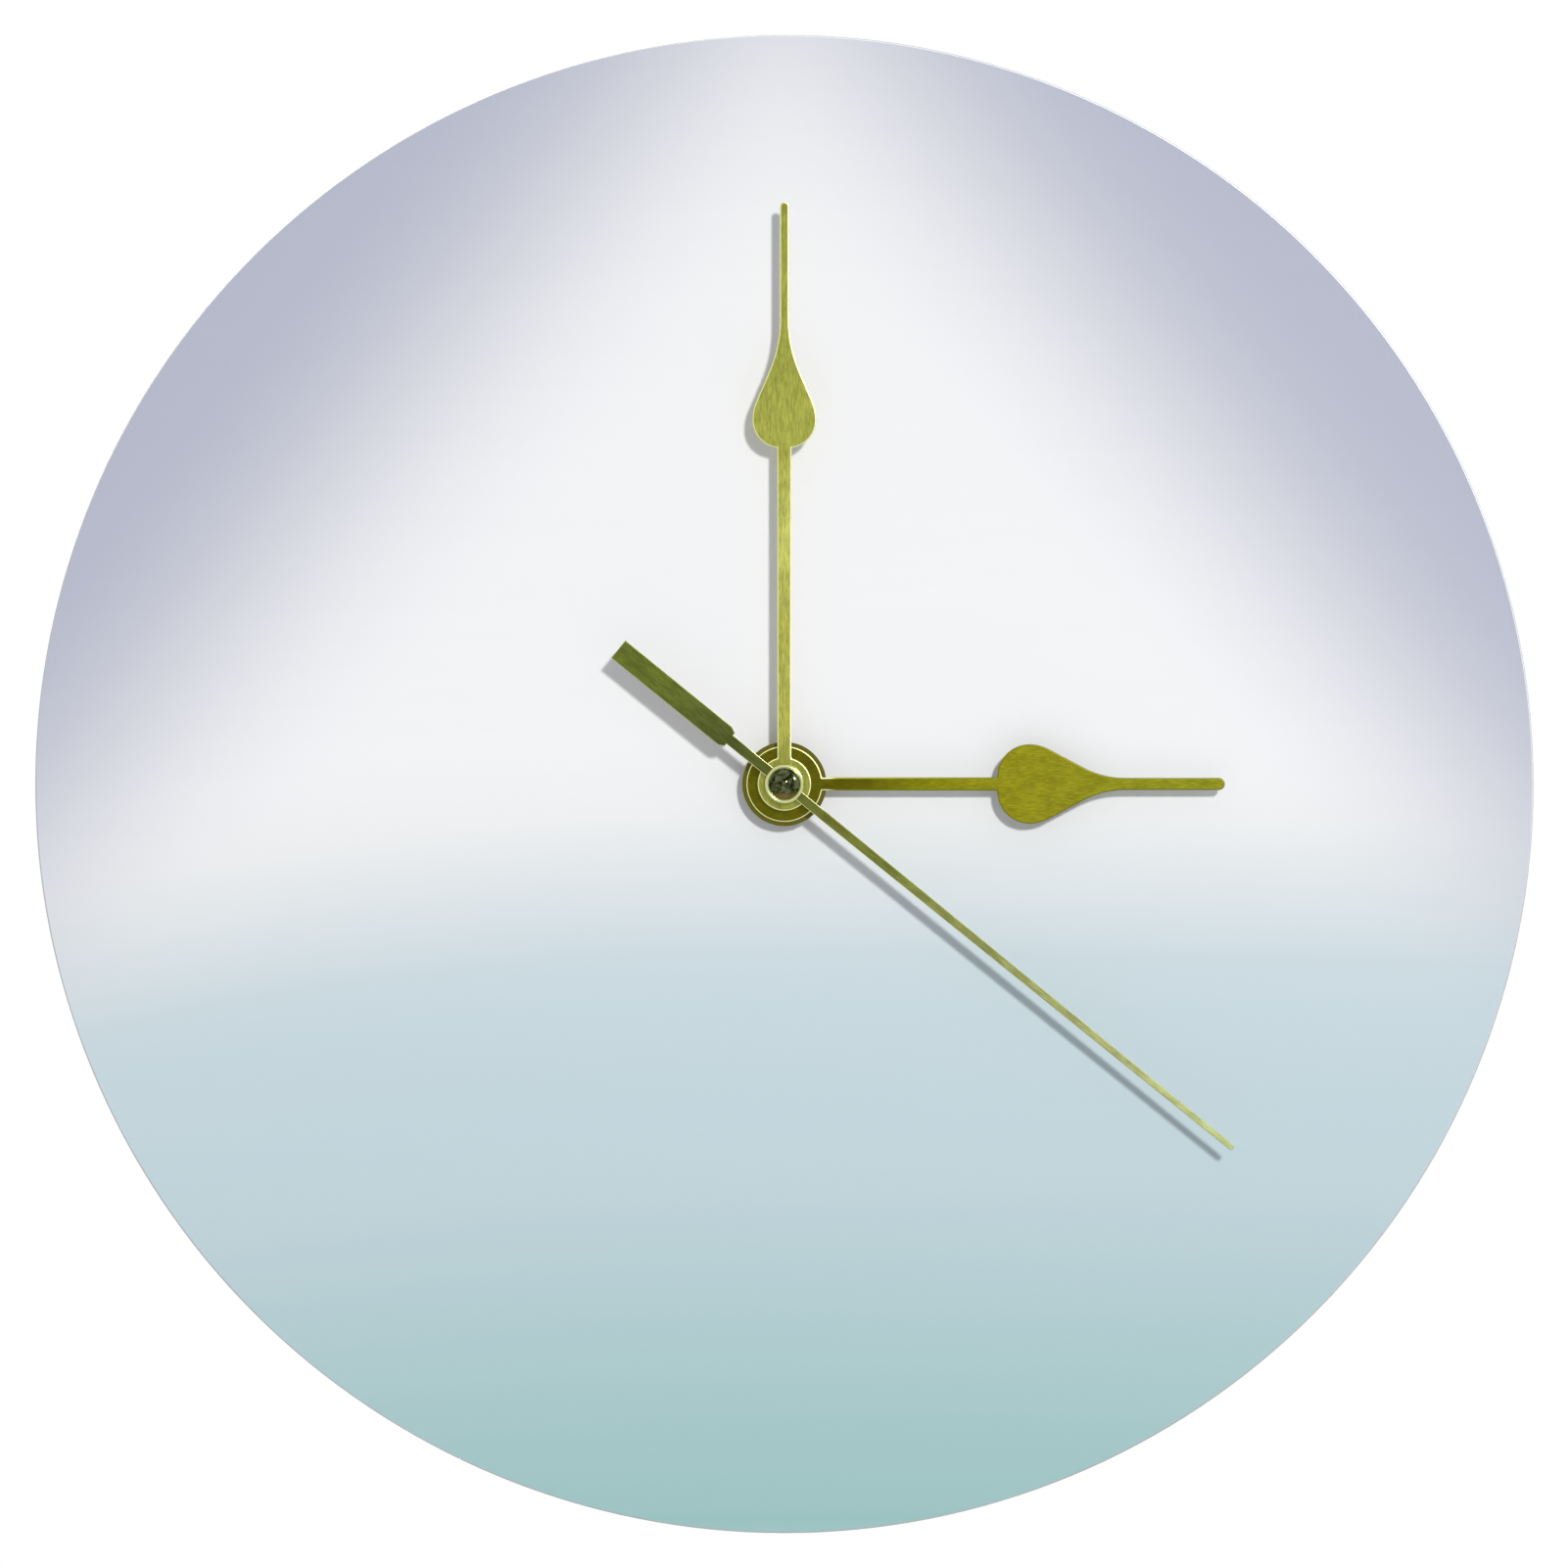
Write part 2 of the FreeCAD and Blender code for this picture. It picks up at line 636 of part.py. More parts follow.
def make_hanger():
    """Sheet-steel hanger: a plate behind the dial, cranked back over the case to a keyhole."""
    hanger = new_body("hanger_bracket")

    def draw_profile(sketch):
        strip(sketch, [
            (forward(HANGER_MIDDLE), "0 - hanger_foot"),
            (forward(HANGER_MIDDLE), HANGER_STEP),
            (forward("hanger_setback"), HANGER_STEP),
            (forward("hanger_setback"), HANGER_TOP),
        ], "hanger_thick", "hanger_bend")

    plate = add(hanger, "0", "hanger_width", draw_profile, "YZ_Plane")
    plate.Midplane = True
    back, front = f"({CASE_FRONT} - overrun)", f"({HANGER_FRONT} + overrun)"
    cut(hanger, back, front, lambda sketch: circle(sketch, "0", "0", "bushing_diameter / 2 + slip_gap"))
    half = "keyhole_slot / 2"
    low = f"({KEYHOLE_Z} + sqrt((keyhole_diameter / 2) ^ 2 - ({half}) ^ 2))"
    high = f"({KEYHOLE_Z} + keyhole_rise)"
    side = "keyhole_diameter / 2"
    back, front = "(hanger_setback - hanger_thick)", "(hanger_setback + hanger_thick)"
    cut(hanger, back, front, lambda sketch: outline(sketch, [
        (half, low, side, "left"),
        (half, high),
        ("0", f"{high} + {half}", half, "left"),
        (f"0 - {half}", high, half, "left"),
        (f"0 - {half}", low),
        (f"0 - {side}", KEYHOLE_Z, side, "left"),
        ("0", f"{KEYHOLE_Z} - {side}", side, "left"),
        (side, KEYHOLE_Z, side, "left"),
    ]))
    right, corner = "hanger_width / 2", "hanger_corner"
    out = f"({right} + overrun)"
    over = f"({HANGER_TOP} + overrun)"
    for sign in ("1", "-1"):
        cut(hanger, back, front, lambda sketch: outline(sketch, [
            (f"{sign} * {right}", f"{HANGER_TOP} - {corner}"),
            (f"{sign} * ({right} - {corner})", HANGER_TOP),
            (f"{sign} * ({right} - {corner})", over),
            (f"{sign} * {out}", over),
            (f"{sign} * {out}", f"{HANGER_TOP} - {corner}"),
        ]))


def draw_bridge_pins(sketch):
    """Square pins on two of the corner posts, which go through the bridge."""
    square(sketch, POST_X, POST_LOW, "pin_width / 2")
    square(sketch, f"0 - {POST_X}", POST_TOP, "pin_width / 2")


def draw_motor_pins(sketch):
    """Square pins at the ends of the coil, which go through the stator and the core."""
    for across in (LEG_MIDDLE, f"0 - {LEG_MIDDLE}"):
        square(sketch, across, COIL_Z, "pin_width / 2")


def make_case():
    """Front and rear mouldings of the movement's case."""
    case = new_body("case_front")
    add(case, "0", CASE_FRONT, lambda sketch: rounded_rectangle(
        sketch, f"0 - {CASE_HALF}", CASE_LOW, CASE_HALF, CASE_TOP, "case_round"))
    back = "0 - overrun"
    cut(case, back, FLOOR, lambda sketch: rectangle(
        sketch, f"0 - {INNER_HALF}", ROOM_LOW, INNER_HALF, INNER_TOP))
    cut(case, back, FLOOR, lambda sketch: rectangle(
        sketch, f"0 - {INNER_HALF}", BAY_LOW, INNER_HALF, BAY_TOP))
    cut(case, back, COVER, lambda sketch: rectangle(
        sketch, f"0 - {COVER_HALF}", COVER_LOW, COVER_HALF, COVER_TOP))
    cut(case, back, "notch_depth", lambda sketch: rectangle(
        sketch, "0 - notch_width / 2", f"{CASE_LOW} - overrun", "notch_width / 2", f"{BAY_LOW} + overrun"))
    slot = f"({INNER_HALF} - contact_thick - cover_gap)"
    front = f"({BATTERY_DEPTH} + contact_width / 2 + cover_gap)"
    cut(case, back, front, lambda sketch: [rectangle(sketch, left, f"{BAY_TOP} - cover_gap", right,
                                                     f"{ROOM_LOW} + cover_gap")
                                           for left, right in ((slot, INNER_HALF),
                                                               (f"0 - {INNER_HALF}", f"0 - {slot}"))])
    front = f"({CASE_FRONT} + overrun)"
    cut(case, f"({FLOOR} - overrun)", front, lambda sketch: circle(
        sketch, "0", "0", "bushing_diameter / 2"))

    def draw_posts(sketch):
        """Square posts in the corners, for the bridge."""
        for across in (POST_X, f"0 - {POST_X}"):
            for up in (POST_LOW, POST_TOP):
                square(sketch, across, up, "post_width / 2")

    def draw_rests(sketch):
        """Square posts under the stator's legs and band."""
        for across in (LEG_MIDDLE, f"0 - {LEG_MIDDLE}"):
            for up in (ROTOR_Z, COIL_Z):
                square(sketch, across, up, "post_width / 2")

    deep = f"({FLOOR} + post_root)"
    add(case, BRIDGE_FRONT, deep, draw_posts)
    add(case, f"({BRIDGE_BACK} - rivet_length)", BRIDGE_FRONT, draw_bridge_pins)
    add(case, STATOR_FRONT, deep, draw_rests)
    add(case, f"({CORE_BACK} - rivet_length)", STATOR_FRONT, draw_motor_pins)
    post = f"({MAGNET_DEPTH} + magnet_length / 2 + end_play)"
    add(case, post, deep, lambda sketch: square(sketch, ROTOR_X, ROTOR_Z, "post_width / 2"))

    def draw_pivots(sketch):
        for across, up in ((THIRD_X, THIRD_Z), (FIFTH_X, FIFTH_Z), (ROTOR_X, ROTOR_Z)):
            circle(sketch, across, up, f"{PIVOT} + running_gap")
        circle(sketch, MOTION_X, MOTION_Z, "setting_arbor / 2 + running_gap")

    cut(case, f"({post} - overrun)", f"({PIVOT_FRONT} + running_gap)", draw_pivots)

    cover = new_body("case_back")
    half = f"({COVER_HALF} - cover_gap)"
    add(cover, "0", COVER, lambda sketch: rectangle(
        sketch, f"0 - {half}", f"{COVER_LOW} + cover_gap", half, f"{COVER_TOP} - cover_gap"))
    well = f"({KNOB_WELL} + cover_thick)"
    floor = "(knob_inset + knob_height + knob_gap / 2)"
    add(cover, "0", BRIDGE_BACK, lambda sketch: square(sketch, MOTION_X, MOTION_Z, well))
    cut(cover, back, floor, lambda sketch: circle(sketch, MOTION_X, MOTION_Z, KNOB_WELL))
    cut(cover, back, f"({BRIDGE_BACK} + overrun)", lambda sketch: circle(
        sketch, MOTION_X, MOTION_Z, "setting_arbor / 2 + running_gap"))


def make_bridge():
    """The plate that carries the rear pivots, riveted on the corner posts."""
    bridge = new_body("gear_bridge")

    def draw(sketch):
        rectangle(sketch, f"0 - {BRIDGE_HALF}", BRIDGE_LOW, BRIDGE_HALF, BRIDGE_TOP)
        draw_bridge_pins(sketch)
        for across, up in ((THIRD_X, THIRD_Z), (FIFTH_X, FIFTH_Z), (ROTOR_X, ROTOR_Z)):
            circle(sketch, across, up, f"{PIVOT} + running_gap")
        circle(sketch, "0", "0", f"{SECOND_ARBOR} + running_gap")
        circle(sketch, MOTION_X, MOTION_Z, "setting_arbor / 2 + running_gap")

    add(bridge, BRIDGE_BACK, BRIDGE_FRONT, draw)


def make_battery():
    """One AA cell on its side, with the contact strips at its ends."""
    left = f"(0 - {INNER_HALF} + spring_room)"
    right = f"({INNER_HALF} - contact_thick - contact_gap)"
    shoulder = f"({right} - nub_length)"
    radius = "battery_diameter / 2"
    cell = new_body("battery_cell", up=BATTERY_Z, depth=BATTERY_DEPTH)
    turned(cell, [
        (left, "0"),
        (right, "0"),
        (right, "nub_diameter / 2"),
        (shoulder, "nub_diameter / 2"),
        (shoulder, radius),
        (left, radius),
    ], plane="XZ_Plane")

    wall = f"({INNER_HALF} - contact_thick / 2)"
    low = f"({BAY_LOW} + inner_gap)"
    high = f"({BOARD_LOW} + board_height / 2)"
    narrow = f"({BATTERY_DEPTH} - contact_width / 2)"
    tab_back = f"({BOARD_BACK} - contact_thick)"
    back, front = narrow, f"({BATTERY_DEPTH} + contact_width / 2)"

    def solder_tab(piece, sign):
        """The strip's upper end, folded over the rear of the board."""
        edge, inner = f"{sign} * {INNER_HALF}", f"{sign} * ({INNER_HALF} - contact_thick)"
        near = f"{sign} * ({BOARD_HALF} - solder_tab)"
        ends = (edge, inner) if sign == "-1" else (inner, edge)
        add(piece, tab_back, back, lambda sketch: rectangle(
            sketch, ends[0], f"{high} - solder_tab", ends[1], high))
        ends = (edge, near) if sign == "-1" else (near, edge)
        add(piece, tab_back, BOARD_BACK, lambda sketch: rectangle(
            sketch, ends[0], f"{high} - solder_tab", ends[1], high))

    positive = new_body("contact_positive")
    add(positive, back, front, lambda sketch: rectangle(
        sketch, f"{INNER_HALF} - contact_thick", low, INNER_HALF, high))
    solder_tab(positive, "1")

    negative = new_body("contact_negative")
    leg = f"(0 - {INNER_HALF} + spring_room - contact_gap - contact_thick / 2)"
    add(negative, back, front, lambda sketch: strip(sketch, [
        (f"0 - {wall}", high),
        (f"0 - {wall}", low),
        (leg, low),
        (leg, f"{BATTERY_Z} + nub_diameter / 2"),
    ], "contact_thick", "spring_bend"))
    solder_tab(negative, "-1")


def make_board():
    """Circuit board on the rear of the bridge, with its crystal and its chip under a drop of resin."""
    board = new_body("circuit_board")
    add(board, BOARD_BACK, BRIDGE_BACK, lambda sketch: rectangle(
        sketch, f"0 - {BOARD_HALF}", BOARD_LOW, BOARD_HALF, BOARD_HIGH))
    middle = f"({BOARD_LOW} + board_height / 2)"
    crystal_depth = f"({BOARD_BACK} - crystal_diameter / 2)"
    crystal = new_body("quartz_crystal", across=f"0 - {BOARD_HALF} / 2", up=middle, depth=crystal_depth)
    half = "crystal_length / 2"
    add(crystal, f"0 - {half}", half, lambda sketch: circle(
        sketch, "0", "0", "crystal_diameter / 2"), "YZ_Plane")
    chip = new_body("timing_chip", across=f"{BOARD_HALF} / 2", up=middle)
    tube(chip, f"({BOARD_BACK} - chip_height)", BOARD_BACK, "chip_diameter / 2")


def make_motor():
    """Stepping motor: coil on its core, stator plate and magnet rotor."""
    stator = new_body("stator_plate")

    def draw_stator(sketch):
        low, high, top = STATOR_LOW, STATOR_HIGH, f"{COIL_Z} + leg_width / 2"
        outline(sketch, [
            (f"0 - {LEG_OUTER}", low),
            (LEG_OUTER, low),
            (LEG_OUTER, top),
            (LEG_INNER, top),
            (LEG_INNER, high),
            (f"0 - {LEG_INNER}", high),
            (f"0 - {LEG_INNER}", top),
            (f"0 - {LEG_OUTER}", top),
        ])
        circle(sketch, ROTOR_X, ROTOR_Z, STATOR_HOLE)
        draw_motor_pins(sketch)

    add(stator, STATOR_BACK, STATOR_FRONT, draw_stator)

    core = new_body("coil_core")

    def draw_core(sketch):
        rectangle(sketch, f"0 - {LEG_OUTER}", f"{COIL_Z} - core_width / 2", LEG_OUTER,
                  f"{COIL_Z} + core_width / 2")
        draw_motor_pins(sketch)

    add(core, CORE_BACK, STATOR_BACK, draw_core)

    half = "(coil_length / 2)"
    inner = f"({half} - flange_wall)"
    thin, flat = "(core_thick / 2)", "(core_width / 2)"
    barrel = [f"({edge} + bobbin_wall)" for edge in (thin, flat)]
    flange = [FLANGE_RADIUS, FLANGE_RADIUS]

    def draw_section(sketch, outer):
        """A rectangular tube section round the core."""
        for deep, wide in (outer, (thin, flat)):
            rectangle(sketch, f"0 - {deep}", f"0 - {wide}", deep, wide)

    bobbin = new_body("coil_bobbin", up=COIL_Z, depth=COIL_DEPTH)
    add(bobbin, f"0 - {inner}", inner, lambda sketch: draw_section(sketch, barrel), "YZ_Plane")
    add(bobbin, f"0 - {half}", f"0 - {inner}", lambda sketch: draw_section(sketch, flange), "YZ_Plane")
    add(bobbin, inner, half, lambda sketch: draw_section(sketch, flange), "YZ_Plane")
    winding = new_body("coil_winding", up=COIL_Z, depth=COIL_DEPTH)

    def draw_winding(sketch):
        circle(sketch, "0", "0", f"{FLANGE_RADIUS} - winding_inset")
        rectangle(sketch, f"0 - {barrel[0]}", f"0 - {barrel[1]}", barrel[0], barrel[1])

    add(winding, f"0 - {inner}", inner, draw_winding, "YZ_Plane")

    rotor = new_wheel("rotor_pinion", ROTOR_TURN, ROTOR_X, ROTOR_Z)
    front, back = f"({MAGNET_DEPTH} + magnet_length / 2)", f"({MAGNET_DEPTH} - magnet_length / 2)"
    toothed(rotor, layer_back(FIFTH_LAYER), layer_front(FIFTH_LAYER), ROTOR_MODULE, "rotor_teeth")
    tube(rotor, PIVOT_BACK, layer_back(FIFTH_LAYER), PIVOT)
    tube(rotor, layer_front(FIFTH_LAYER), f"({PIVOT_FRONT} - pivot_length / 2)", PIVOT)
    magnet = new_body("rotor_magnet", across=ROTOR_X, up=ROTOR_Z)
    tube(magnet, back, front, "magnet_diameter / 2", PIVOT)


def make_train():
    """Going train: fifth, second, third and centre wheels, each moulded with its pinion."""
    fifth = new_wheel("fifth_wheel", FIFTH_TURN, FIFTH_X, FIFTH_Z)
    toothed(fifth, layer_back(FIFTH_LAYER), layer_front(FIFTH_LAYER), ROTOR_MODULE, "fifth_teeth")
    toothed(fifth, layer_front(FIFTH_LAYER), layer_front(SECOND_LAYER), FIFTH_MODULE, "fifth_leaves")
    tube(fifth, layer_front(SECOND_LAYER), PIVOT_FRONT, PIVOT)
    tube(fifth, PIVOT_BACK, layer_back(FIFTH_LAYER), PIVOT)

    second = new_wheel("second_wheel", SECOND_TURN)
    toothed(second, layer_back(SECOND_LAYER), layer_front(SECOND_LAYER), FIFTH_MODULE, "second_teeth")
    toothed(second, layer_front(SECOND_LAYER), layer_front(THIRD_LAYER), SECOND_MODULE, "second_leaves")
    bore(second, layer_back(SECOND_LAYER), layer_front(THIRD_LAYER), SECOND_ARBOR)
    arbor = new_body("second_arbor")
    tube(arbor, f"({BRIDGE_BACK} + running_gap)", SECOND_FRONT, SECOND_ARBOR)

    third = new_wheel("third_wheel", THIRD_TURN, THIRD_X, THIRD_Z)
    toothed(third, layer_back(THIRD_LAYER), layer_front(THIRD_LAYER), SECOND_MODULE, "third_teeth")
    toothed(third, layer_front(THIRD_LAYER), layer_front(CENTRE_LAYER), THIRD_MODULE, "third_leaves")
    tube(third, layer_front(CENTRE_LAYER), PIVOT_FRONT, PIVOT)
    tube(third, PIVOT_BACK, layer_back(THIRD_LAYER), PIVOT)

    centre = new_wheel("centre_wheel", CENTRE_TURN)
    toothed(centre, layer_back(CENTRE_LAYER), layer_front(CENTRE_LAYER), THIRD_MODULE, "centre_teeth")
    bore(centre, layer_back(CENTRE_LAYER), layer_front(CENTRE_LAYER), f"{BARREL} + running_gap")


def make_motion_works():
    """Minute pipe, minute wheel and hour wheel, and the knob that sets the hands."""
    pipe = new_wheel("minute_pipe", CANNON_TURN)
    shoulder = f"({layer_front(MINUTE_LAYER)} + end_play)"
    toothed(pipe, layer_back(MINUTE_LAYER), shoulder, CANNON_MODULE, "cannon_leaves")
    tube(pipe, shoulder, PIPE_FRONT, MINUTE_PIPE)
    tail = f"({layer_back(CENTRE_LAYER)} - running_gap)"
    tube(pipe, tail, layer_back(MINUTE_LAYER), BARREL)
    bore(pipe, tail, PIPE_FRONT, f"{SECOND_ARBOR} + running_gap")

    setting = "setting_arbor / 2"
    minute = new_wheel("minute_wheel", MINUTE_TURN, MOTION_X, MOTION_Z)
    toothed(minute, layer_back(MINUTE_LAYER), layer_front(MINUTE_LAYER), CANNON_MODULE, "minute_teeth")
    toothed(minute, layer_front(MINUTE_LAYER), layer_front(HOUR_LAYER), HOUR_MODULE, "minute_leaves")
    tube(minute, layer_front(HOUR_LAYER), PIVOT_FRONT, setting)
    knob_front = "(knob_inset + knob_height)"
    socket = "(knob_inset + knob_floor)"
    tube(minute, socket, layer_back(MINUTE_LAYER), setting)

    knob = new_wheel("setting_knob", MINUTE_TURN, MOTION_X, MOTION_Z)
    rib = "(knob_diameter / (knob_ribs + 2 * addendum_share))"
    toothed(knob, "knob_inset", knob_front, rib, "knob_ribs")
    cut(knob, socket, f"({knob_front} + overrun)", lambda sketch: circle(sketch, "0", "0", setting))

    hour = new_wheel("hour_wheel", HOUR_TURN)
    toothed(hour, layer_back(HOUR_LAYER), layer_front(HOUR_LAYER), HOUR_MODULE, "hour_teeth")
    tube(hour, layer_front(HOUR_LAYER), HOUR_FRONT, HOUR_PIPE)
    bore(hour, layer_back(HOUR_LAYER), HOUR_FRONT, f"{MINUTE_PIPE} + running_gap")


def spade(sketch, name):
    """Outline of a spade hand that points up: stem, round belly, drawn-in flanks and a slim tip."""
    half, belly, neck = f"{name}_stem / 2", f"{name}_belly_width / 2", f"{name}_neck / 2"
    base, middle, flank = f"{name}_base", f"{name}_belly", f"{name}_flank"
    shoulder, waist, reach = f"{name}_shoulder", f"{name}_waist", f"{name}_reach"
    rise, swell = f"({middle} - {base})", f"({belly} - {half})"
    heel = f"(({swell}) ^ 2 + ({rise}) ^ 2) / 2 / ({swell})"
    bend_x = f"({belly} - {shoulder} * (1 - cos({flank})))"
    bend_z = f"({middle} + {shoulder} * sin({flank}))"
    drawn_x = f"({neck} + {waist} * (1 - cos({flank})))"
    drawn_z = f"({bend_z} + ({bend_x} - {drawn_x}) / tan({flank}))"
    neck_z = f"({drawn_z} + {waist} * sin({flank}))"
    tip_z = f"({reach} - {neck})"
    outline(sketch, [
        (f"0 - {half}", "0"),
        (half, "0"),
        (half, base),
        (belly, middle, heel, "left"),
        (bend_x, bend_z, shoulder, "left"),
        (drawn_x, drawn_z),
        (neck, neck_z, waist, "right"),
        (neck, tip_z),
        ("0", reach, neck, "left"),
        (f"0 - {neck}", tip_z, neck, "left"),
        (f"0 - {neck}", neck_z),
        (f"0 - {drawn_x}", drawn_z, waist, "right"),
        (f"0 - {bend_x}", bend_z),
        (f"0 - {belly}", middle, shoulder, "left"),
        (f"0 - {half}", base, heel, "left"),
    ])


def make_hands():
    """The three hands with their collets, and the cap over the middle."""
    hour = new_body("hour_hand", turn="hour_angle")
    tube(hour, HOUR_BACK, HOUR_FRONT, "hour_boss / 2")
    add(hour, HOUR_BACK, HOUR_FRONT, lambda sketch: spade(sketch, "hour"))
    cut(hour, f"({HOUR_BACK} - overrun)", f"({HOUR_FRONT} + overrun)", lambda sketch: circle(
        sketch, "0", "0", HOUR_PIPE))
    collet = new_body("hour_collet", turn="hour_angle")
    flange_back = f"({HOUR_BACK} - collet_flange_thick)"
    tube(collet, flange_back, HOUR_BACK, "hour_flange / 2", HOUR_PIPE)
    tube(collet, HOUR_COLLET_BACK, flange_back, f"{HOUR_PIPE} + collet_wall", HOUR_PIPE)

    minute = new_body("minute_hand", turn="minute_angle")
    tube(minute, MINUTE_BACK, MINUTE_FRONT, "minute_boss / 2")
    add(minute, MINUTE_BACK, MINUTE_FRONT, lambda sketch: spade(sketch, "minute"))
    cut(minute, f"({MINUTE_BACK} - overrun)", f"({MINUTE_FRONT} + overrun)", lambda sketch: circle(
        sketch, "0", "0", MINUTE_PIPE))
    collet = new_body("minute_collet", turn="minute_angle")
    tube(collet, MINUTE_COLLET_BACK, MINUTE_BACK, f"{MINUTE_PIPE} + collet_wall", MINUTE_PIPE)

    second = new_body("second_hand", turn="second_angle")
    root, tip, neck, wide = "second_root / 2", "second_tip / 2", "tail_neck / 2", "tail_width / 2"
    tip_z, bevel = f"(second_reach - {tip})", "tail_bevel"
    tail, step = "(0 - tail_start)", "(0 - tail_start - tail_bevel)"
    add(second, SECOND_BACK, SECOND_FRONT, lambda sketch: outline(sketch, [
        (root, "0"),
        (tip, tip_z),
        ("0", "second_reach", tip, "left"),
        (f"0 - {tip}", tip_z, tip, "left"),
        (f"0 - {root}", "0"),
        (f"0 - {neck}", "0"),
        (f"0 - {neck}", tail),
        (f"0 - {wide} + {bevel} / 2", tail),
        (f"0 - {wide}", step),
        (f"0 - {wide}", "0 - tail_reach"),
        (wide, "0 - tail_reach"),
        (wide, step),
        (f"{wide} - {bevel} / 2", tail),
        (neck, tail),
        (neck, "0"),
    ]))
    tube(second, SECOND_BACK, SECOND_FRONT, "second_boss / 2")
    cut(second, f"({SECOND_BACK} - overrun)", f"({SECOND_FRONT} + overrun)", lambda sketch: circle(
        sketch, "0", "0", SECOND_ARBOR))
    tube_piece = new_body("second_tube", turn="second_angle")
    tube(tube_piece, TUBE_BACK, SECOND_BACK, f"{SECOND_ARBOR} + tube_wall", SECOND_ARBOR)
    cap = new_body("second_cap", turn="second_angle")
    rim, dome = "cap_diameter / 2", "dome_diameter / 2"
    ball = f"(({dome}) ^ 2 + dome_height ^ 2) / 2 / dome_height"
    top = f"({SECOND_FRONT} + cap_rim)"
    turned(cap, [
        (forward(SECOND_FRONT), "0"),
        (forward(SECOND_FRONT), rim),
        (forward(top), rim),
        (forward(top), dome),
        (forward(f"({top} + dome_height)"), "0", ball, "left"),
    ])


make_dial()
make_clamp()
make_hanger()
make_case()
make_bridge()
make_battery()
make_board()
make_motor()
make_train()
make_motion_works()
make_hands()
doc.recompute()

# Nothing is written until every feature and every piece is sound
for item in doc.Objects:
    if any(word in ("Invalid", "Error") for word in item.State):
        raise RuntimeError(f"{item.Label}: {item.State}")
for piece in PIECES:
    if piece.Shape.isNull() or not piece.Shape.isValid():
        raise RuntimeError(f"{piece.Label}: its shape is missing or broken")

os.makedirs("parts", exist_ok=True)
for piece in PIECES:
    piece.Shape.exportStep(f"parts/{piece.Label}.step")
    print(piece.Label, len(piece.Shape.Solids), round(piece.Shape.Volume, 3))
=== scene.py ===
"""Dresses the wall clock: printed disc, brass hands, turned hub, hanger, quartz movement and its battery."""
import math

import bmesh
import bpy
from bpy.props import FloatProperty, FloatVectorProperty, IntProperty, PointerProperty
from mathutils import Matrix, Vector


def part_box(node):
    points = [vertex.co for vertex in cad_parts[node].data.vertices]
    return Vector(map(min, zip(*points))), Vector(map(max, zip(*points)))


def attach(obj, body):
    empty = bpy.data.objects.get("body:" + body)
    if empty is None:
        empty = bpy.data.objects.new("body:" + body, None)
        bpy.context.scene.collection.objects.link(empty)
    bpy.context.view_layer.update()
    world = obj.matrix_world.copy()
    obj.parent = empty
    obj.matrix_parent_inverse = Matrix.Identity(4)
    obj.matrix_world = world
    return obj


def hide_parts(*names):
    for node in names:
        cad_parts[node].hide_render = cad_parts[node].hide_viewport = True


bl_info = {
    "name": "Round wall clock",
    "version": (1, 0, 0),
    "blender": (4, 5, 0),
    "location": "3D View > Sidebar > Clock",
    "description": "Builds the looks of a frameless wall clock round its CAD frame",
    "category": "Object",
}

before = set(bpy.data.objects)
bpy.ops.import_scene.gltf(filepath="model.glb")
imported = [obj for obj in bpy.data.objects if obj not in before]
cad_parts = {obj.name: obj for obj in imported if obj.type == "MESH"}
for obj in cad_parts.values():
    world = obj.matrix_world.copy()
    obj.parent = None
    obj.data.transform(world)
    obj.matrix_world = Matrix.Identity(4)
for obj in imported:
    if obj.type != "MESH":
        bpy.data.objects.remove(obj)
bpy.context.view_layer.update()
MM = 0.001
LOW_DIAL, HIGH_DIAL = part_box("dial_disc")
DIAL_RADIUS = min(HIGH_DIAL.x, HIGH_DIAL.z, -LOW_DIAL.x, -LOW_DIAL.z)

# Where the hands point at rest, clockwise from straight up
MINUTE_ANGLE, HOUR_ANGLE, SECOND_ANGLE = 0.0, math.pi / 2, math.radians(129.1)
# Radius of the holes that the bushing goes through, in millimetres
CLAMP_HOLE = 4.1
# Vertices this near are one, and flat faces whose bend is under this angle are one
JOIN, FLAT = 0.001 * MM, math.radians(0.5)
# A bend over this angle is an edge to break, and a face whose normal goes this far in a direction faces it
BEND, FACING = math.radians(40), 0.99
# Directions that count towards a distance from the hands' axis, and from an upright one
FROM_AXIS, FROM_UPRIGHT = (1.0, 0.0, 1.0), (1.0, 1.0, 0.0)
SUN, PANEL = "SUN", "AREA"
WHITE = (1.0, 1.0, 1.0, 1.0)


def linear(code):
    """A colour written as sRGB hex, as the linear red, green, blue and alpha that nodes take."""
    shares = [int(code[place:place + 2], 16) / 255 for place in (1, 3, 5)]
    return tuple(
        share / 12.92 if share <= 0.04045 else ((share + 0.055) / 1.055) ** 2.4 for share in shares
    ) + (1.0,)


def length(name, text, millimetres):
    """A property that holds a length."""
    return FloatProperty(name=name, description=text, default=millimetres * MM, min=0.0,
                         unit="LENGTH", subtype="DISTANCE", precision=6)


def colour(name, text, code):
    """A property that holds a colour."""
    return FloatVectorProperty(name=name, description=text, default=linear(code), size=4,
                               min=0.0, max=1.0, subtype="COLOR")


